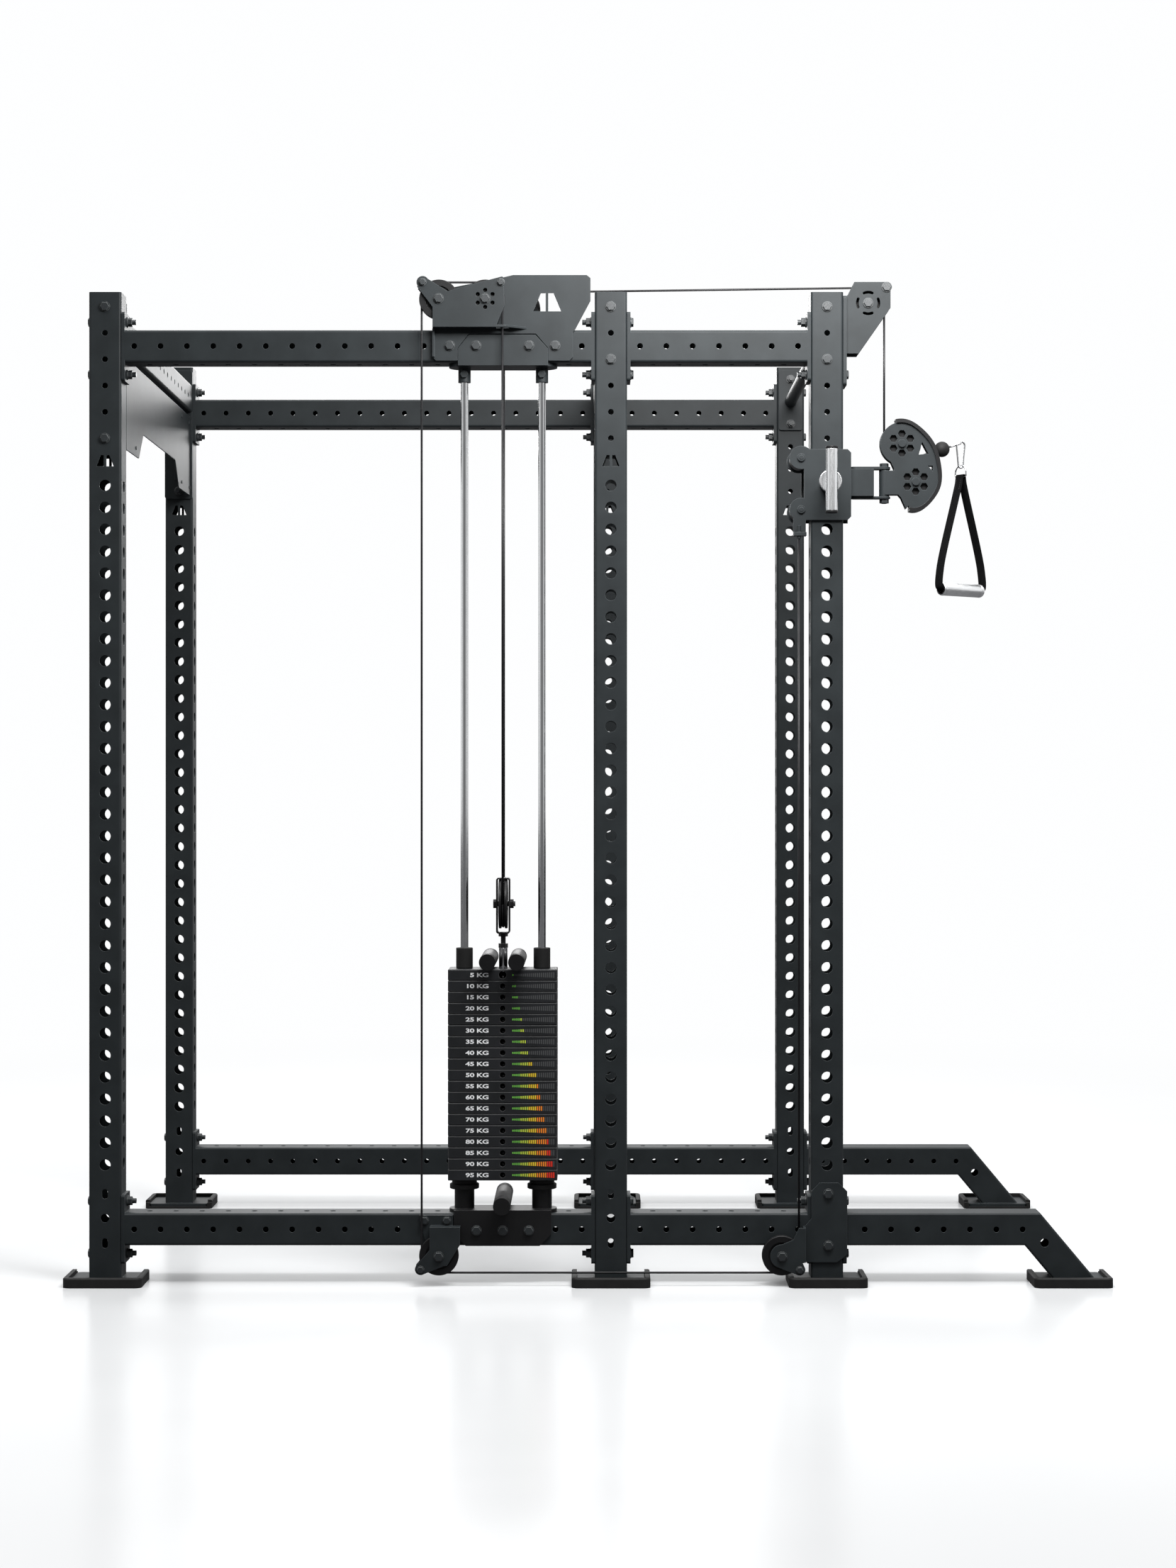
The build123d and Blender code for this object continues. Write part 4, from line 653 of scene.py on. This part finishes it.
def strap_loop():
    """Webbing from the grip's two ends up to the ring, as one closed band."""
    grip = joint_at("grip_spin")
    along = joint_axis("grip_spin")
    across = Vector((-along.y, along.x, 0))
    foot = Vector((grip.x, grip.y, 0))
    line = strap_line(grip.z)
    bm = bmesh.new()
    uv = bm.loops.layers.uv.new("UVMap")
    rings = []
    travelled = 0.0
    lengths = []
    for i, point in enumerate(line):
        before = line[i - 1]
        after = line[(i + 1) % len(line)]
        tangent = (after - before).normalized()
        normal = Vector((tangent.y, -tangent.x))
        ring = []
        for w, t in STRAP_SECTION:
            local = point + normal * STRAP_HALF_T * t
            place = foot + along * local.x + across * STRAP_HALF_W * w + UP * local.y
            ring.append(bm.verts.new(place))
        rings.append(ring)
        lengths.append(travelled)
        travelled += (after - point).length
    lengths.append(travelled)
    count = len(STRAP_SECTION)
    for i, ring in enumerate(rings):
        for k, face in enumerate(join_rings(bm, ring, rings[(i + 1) % len(rings)])):
            v0 = k / count
            v1 = (k + 1) / count
            corners = ((lengths[i], v0), (lengths[i], v1), (lengths[i + 1], v1), (lengths[i + 1], v0))
            for loop, (u, v) in zip(face.loops, corners):
                loop[uv].uv = (u, v * WEAVE_SPAN)
    mesh = finished_mesh(bm, "strap_webbing")
    add_object("strap_webbing", mesh, WEBBING, "handle", "webbing", "handle_strap")
    return line, foot, along, across


THREAD_R = 0.0004
STITCH = 0.0034
STITCH_PITCH = 0.0050
STITCH_ROWS = (-0.0065, 0.0065)


def stitch_points(a, b, out):
    """A stitch that dips into the webbing at both ends."""
    return [
        a - out * THREAD_R,
        a.lerp(b, 0.2) + out * THREAD_R * 0.4,
        (a + b) / 2 + out * THREAD_R * 0.6,
        a.lerp(b, 0.8) + out * THREAD_R * 0.4,
        b - out * THREAD_R]


def strap_stitches(line, foot, along, across):
    """Two short rows of thread on the outer face of each leg, just under the ring."""
    bm = bmesh.new()
    top = max(p.y for p in line)
    for side in (-1, 1):
        leg = [p for p in line if p.x * side > 0.001 and top - 0.050 < p.y < top - 0.008]
        leg.sort(key=lambda p: -p.y)
        start = leg[0]
        slope = (leg[-1] - start).normalized()
        outward = Vector((-slope.y, slope.x)) * (1 if -slope.y * side > 0 else -1)
        out = along * outward.x + UP * outward.y
        for row in STITCH_ROWS:
            for i in range(5):
                at = start + slope * (0.004 + STITCH_PITCH * i) + outward * (STRAP_HALF_T + THREAD_R * 0.4)
                a = foot + along * at.x + UP * at.y + across * row
                b = a + along * slope.x * STITCH + UP * slope.y * STITCH
                piece = tube_mesh("stitch", stitch_points(a, b, out), THREAD_R, 8)
                bm.from_mesh(piece)
                bpy.data.meshes.remove(piece)
    mesh = bpy.data.meshes.new("strap_stitches")
    bm.to_mesh(mesh)
    bm.free()
    add_object("strap_stitches", mesh, THREAD, "handle", "webbing")


GRIP_HALF = 0.065
GRIP_WALL = 0.0023
GRIP_OUTER = (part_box("handle_grip")[1].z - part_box("handle_grip")[0].z) / 2
GRIP_BORE = GRIP_OUTER - GRIP_WALL


def turned_grip():
    """Aluminium tube with rolled ends and two shallow grooves, in place of the plain one."""
    half_profile = [(GRIP_HALF - back, GRIP_OUTER - down) for back, down in (
        (0, GRIP_WALL), (0, 0.0015), (0.0015, 0.0006), (0.004, 0), (0.0065, 0),
        (0.0075, 0.0007), (0.0085, 0.0007), (0.0095, 0.0002))]
    profile = [(-x, r) for x, r in half_profile] + half_profile[::-1]
    bm = bmesh.new()
    turned(bm, joint_at("grip_spin"), joint_axis("grip_spin"), profile, 64)
    mesh = finished_mesh(bm, "grip_tube")
    mesh.set_sharp_from_angle(angle=math.radians(35))
    add_object("grip_tube", mesh, GRIP_METAL, "grip", "aluminium", "handle_grip")


def grip_end_rings():
    """Black plastic bushes in the grip's open ends, where the strap goes in."""
    profile = [(GRIP_HALF + out, GRIP_BORE - down) for out, down in (
        (-0.004, 0), (0.0006, 0), (0.0014, 0.0009), (0.0006, 0.0021), (-0.004, 0.0021))]
    bm = bmesh.new()
    for end in (-1, 1):
        turned(bm, joint_at("grip_spin"), joint_axis("grip_spin"), [(end * x, r) for x, r in profile], 48)
    mesh = finished_mesh(bm, "grip_end_rings")
    add_object("grip_end_rings", mesh, PLASTIC, "grip", "moulded_plastic")


strap_stitches(*strap_loop())
turned_grip()
grip_end_rings()


# ---- swivel guard -------------------------------------------------------------------------
def guard_finish():
    """The strip round the swivel head is black. It is wider than the cheeks, so its faces pass them."""
    y_middle = joint_at("swivel_yaw").y
    upper = joint_at("swivel_upper_spin")
    lower = joint_at("swivel_lower_spin")
    cheek_q = 0.0138
    guard_q = 0.0192
    axle_r = 0.020
    end_gap = 0.030
    mesh = NODES["swivel_head"].data

    def on_guard(polygon):
        x, z = polygon.center.x, polygon.center.z
        if x < upper.x - axle_r and lower.z - end_gap < z < upper.z + end_gap:
            return False
        if any(math.hypot(x - axle.x, z - axle.z) < axle_r for axle in (upper, lower)):
            return False
        return any(cheek_q < abs(mesh.vertices[i].co.y - y_middle) < guard_q for i in polygon.vertices)
    second_finish("swivel_head", PLASTIC, on_guard)


guard_finish()


# ---- floor, light and camera --------------------------------------------------------------
def shader_mix(tree, factor, low, high):
    node = tree.nodes.new("ShaderNodeMixShader")
    tree.links.new(factor, node.inputs[0])
    tree.links.new(low, node.inputs[1])
    tree.links.new(high, node.inputs[2])
    return node.outputs[0]


def floor():
    """Glossy white floor that fades into the background. Only the camera's rays find it white."""
    mesh = bpy.data.meshes.new("floor")
    bm = bmesh.new()
    bmesh.ops.create_circle(bm, cap_ends=True, segments=96, radius=60.0)
    bm.to_mesh(mesh)
    bm.free()
    material, tree, shader = new_material("floor", (0.77, 0.78, 0.79), 0.0, 0.22, 0.35)
    tree.links.new(spread(tree, noise(tree, 3, 2), 0.18, 0.24), shader.inputs["Roughness"])
    place = tree.nodes.new("ShaderNodeTexCoord")
    distance = tree.nodes.new("ShaderNodeVectorMath")
    distance.operation = "LENGTH"
    tree.links.new(place.outputs["Object"], distance.inputs[0])
    fade = spread(tree, distance.outputs["Value"], 0.0, 1.0, FADE_FROM, FADE_TO)
    fade.node.interpolation_type = "SMOOTHSTEP"
    glow = tree.nodes.new("ShaderNodeEmission")
    glow.inputs["Color"].default_value = STUDIO_WHITE
    dull = tree.nodes.new("ShaderNodeBsdfDiffuse")
    dull.inputs["Color"].default_value = (0.14, 0.14, 0.145, 1)
    path = tree.nodes.new("ShaderNodeLightPath")
    seen = shader_mix(tree, fade, shader.outputs[0], glow.outputs[0])
    both = shader_mix(tree, path.outputs["Is Camera Ray"], dull.outputs[0], seen)
    tree.links.new(both, tree.nodes["Material Output"].inputs["Surface"])
    mesh.materials.append(material)
    obj = bpy.data.objects.new("floor", mesh)
    SCENE.collection.objects.link(obj)


def area_light(name, location, target, size, power):
    light = bpy.data.lights.new(name, "AREA")
    light.shape = "RECTANGLE"
    light.size, light.size_y = size
    light.energy = power
    obj = bpy.data.objects.new(name, light)
    SCENE.collection.objects.link(obj)
    obj.location = location
    obj.rotation_euler = (Vector(target) - Vector(location)).to_track_quat("-Z", "Y").to_euler()
    obj.visible_camera = False


def world():
    """White studio. The camera sees it white, and reflections find it darkest in front of the cage."""
    studio = bpy.data.worlds.new("studio")
    studio.use_nodes = True
    tree = studio.node_tree
    background = tree.nodes["Background"]
    background.inputs["Color"].default_value = STUDIO_WHITE
    place = tree.nodes.new("ShaderNodeTexCoord")
    parts = tree.nodes.new("ShaderNodeSeparateXYZ")
    tree.links.new(place.outputs["Generated"], parts.inputs["Vector"])
    toward = parts.outputs["Y"]
    reflected = spread(tree, toward, REFLECTED_FRONT, REFLECTED_SIDE, -1.0, -0.2)
    behind = spread(tree, toward, 1.0, REFLECTED_BEHIND, 0.3, 0.9)
    around = tree.nodes.new("ShaderNodeMath")
    around.operation = "MULTIPLY"
    tree.links.new(reflected, around.inputs[0])
    tree.links.new(behind, around.inputs[1])
    path = tree.nodes.new("ShaderNodeLightPath")
    not_seen = tree.nodes.new("ShaderNodeMix")
    not_seen.inputs["A"].default_value = AMBIENT
    tree.links.new(path.outputs["Is Glossy Ray"], not_seen.inputs["Factor"])
    tree.links.new(around.outputs["Value"], not_seen.inputs["B"])
    seen = tree.nodes.new("ShaderNodeMix")
    seen.inputs["B"].default_value = 1.0
    tree.links.new(path.outputs["Is Camera Ray"], seen.inputs["Factor"])
    tree.links.new(not_seen.outputs["Result"], seen.inputs["A"])
    tree.links.new(seen.outputs["Result"], background.inputs["Strength"])
    SCENE.world = studio


def overhead_light():
    light = bpy.data.lights.new("overhead", "SUN")
    light.energy = OVERHEAD_STRENGTH
    light.angle = math.radians(80)
    obj = bpy.data.objects.new("overhead", light)
    SCENE.collection.objects.link(obj)
    obj.rotation_euler = (OVERHEAD_TILT, 0, 0)


def camera():
    data = bpy.data.cameras.new("camera")
    data.sensor_width = 36.0
    data.lens = CAMERA_LENS
    data.clip_end = 200.0
    obj = bpy.data.objects.new("camera", data)
    SCENE.collection.objects.link(obj)
    obj.location = CAMERA_AT
    obj.rotation_euler = (math.pi / 2, 0, 0)
    SCENE.camera = obj


STUDIO_WHITE = (0.99, 0.995, 1, 1)
AMBIENT = 0.075             # world strength for every ray but the camera's and reflections
REFLECTED_FRONT = 0.18
REFLECTED_SIDE = 1.0
REFLECTED_BEHIND = 0.8      # share of the side's strength
FADE_FROM = 1.0             # metres from the middle of the floor
FADE_TO = 6.0
OVERHEAD_STRENGTH = 3.1
OVERHEAD_TILT = math.radians(14)
CAMERA_LENS = 63.24
CAMERA_AT = (0.0, -6.953, 1.160)
floor()
world()
overhead_light()
area_light("top_key", location=(0.55, -1.75, 2.85), target=(0.45, -0.58, 2.2), size=(1.3, 0.6), power=74)
area_light("back_fill", location=(-0.6, 4.2, 3.2), target=(0.0, 0.6, 1.2), size=(2.5, 1.5), power=110)
camera()
SCENE.view_settings.view_transform = "Standard"
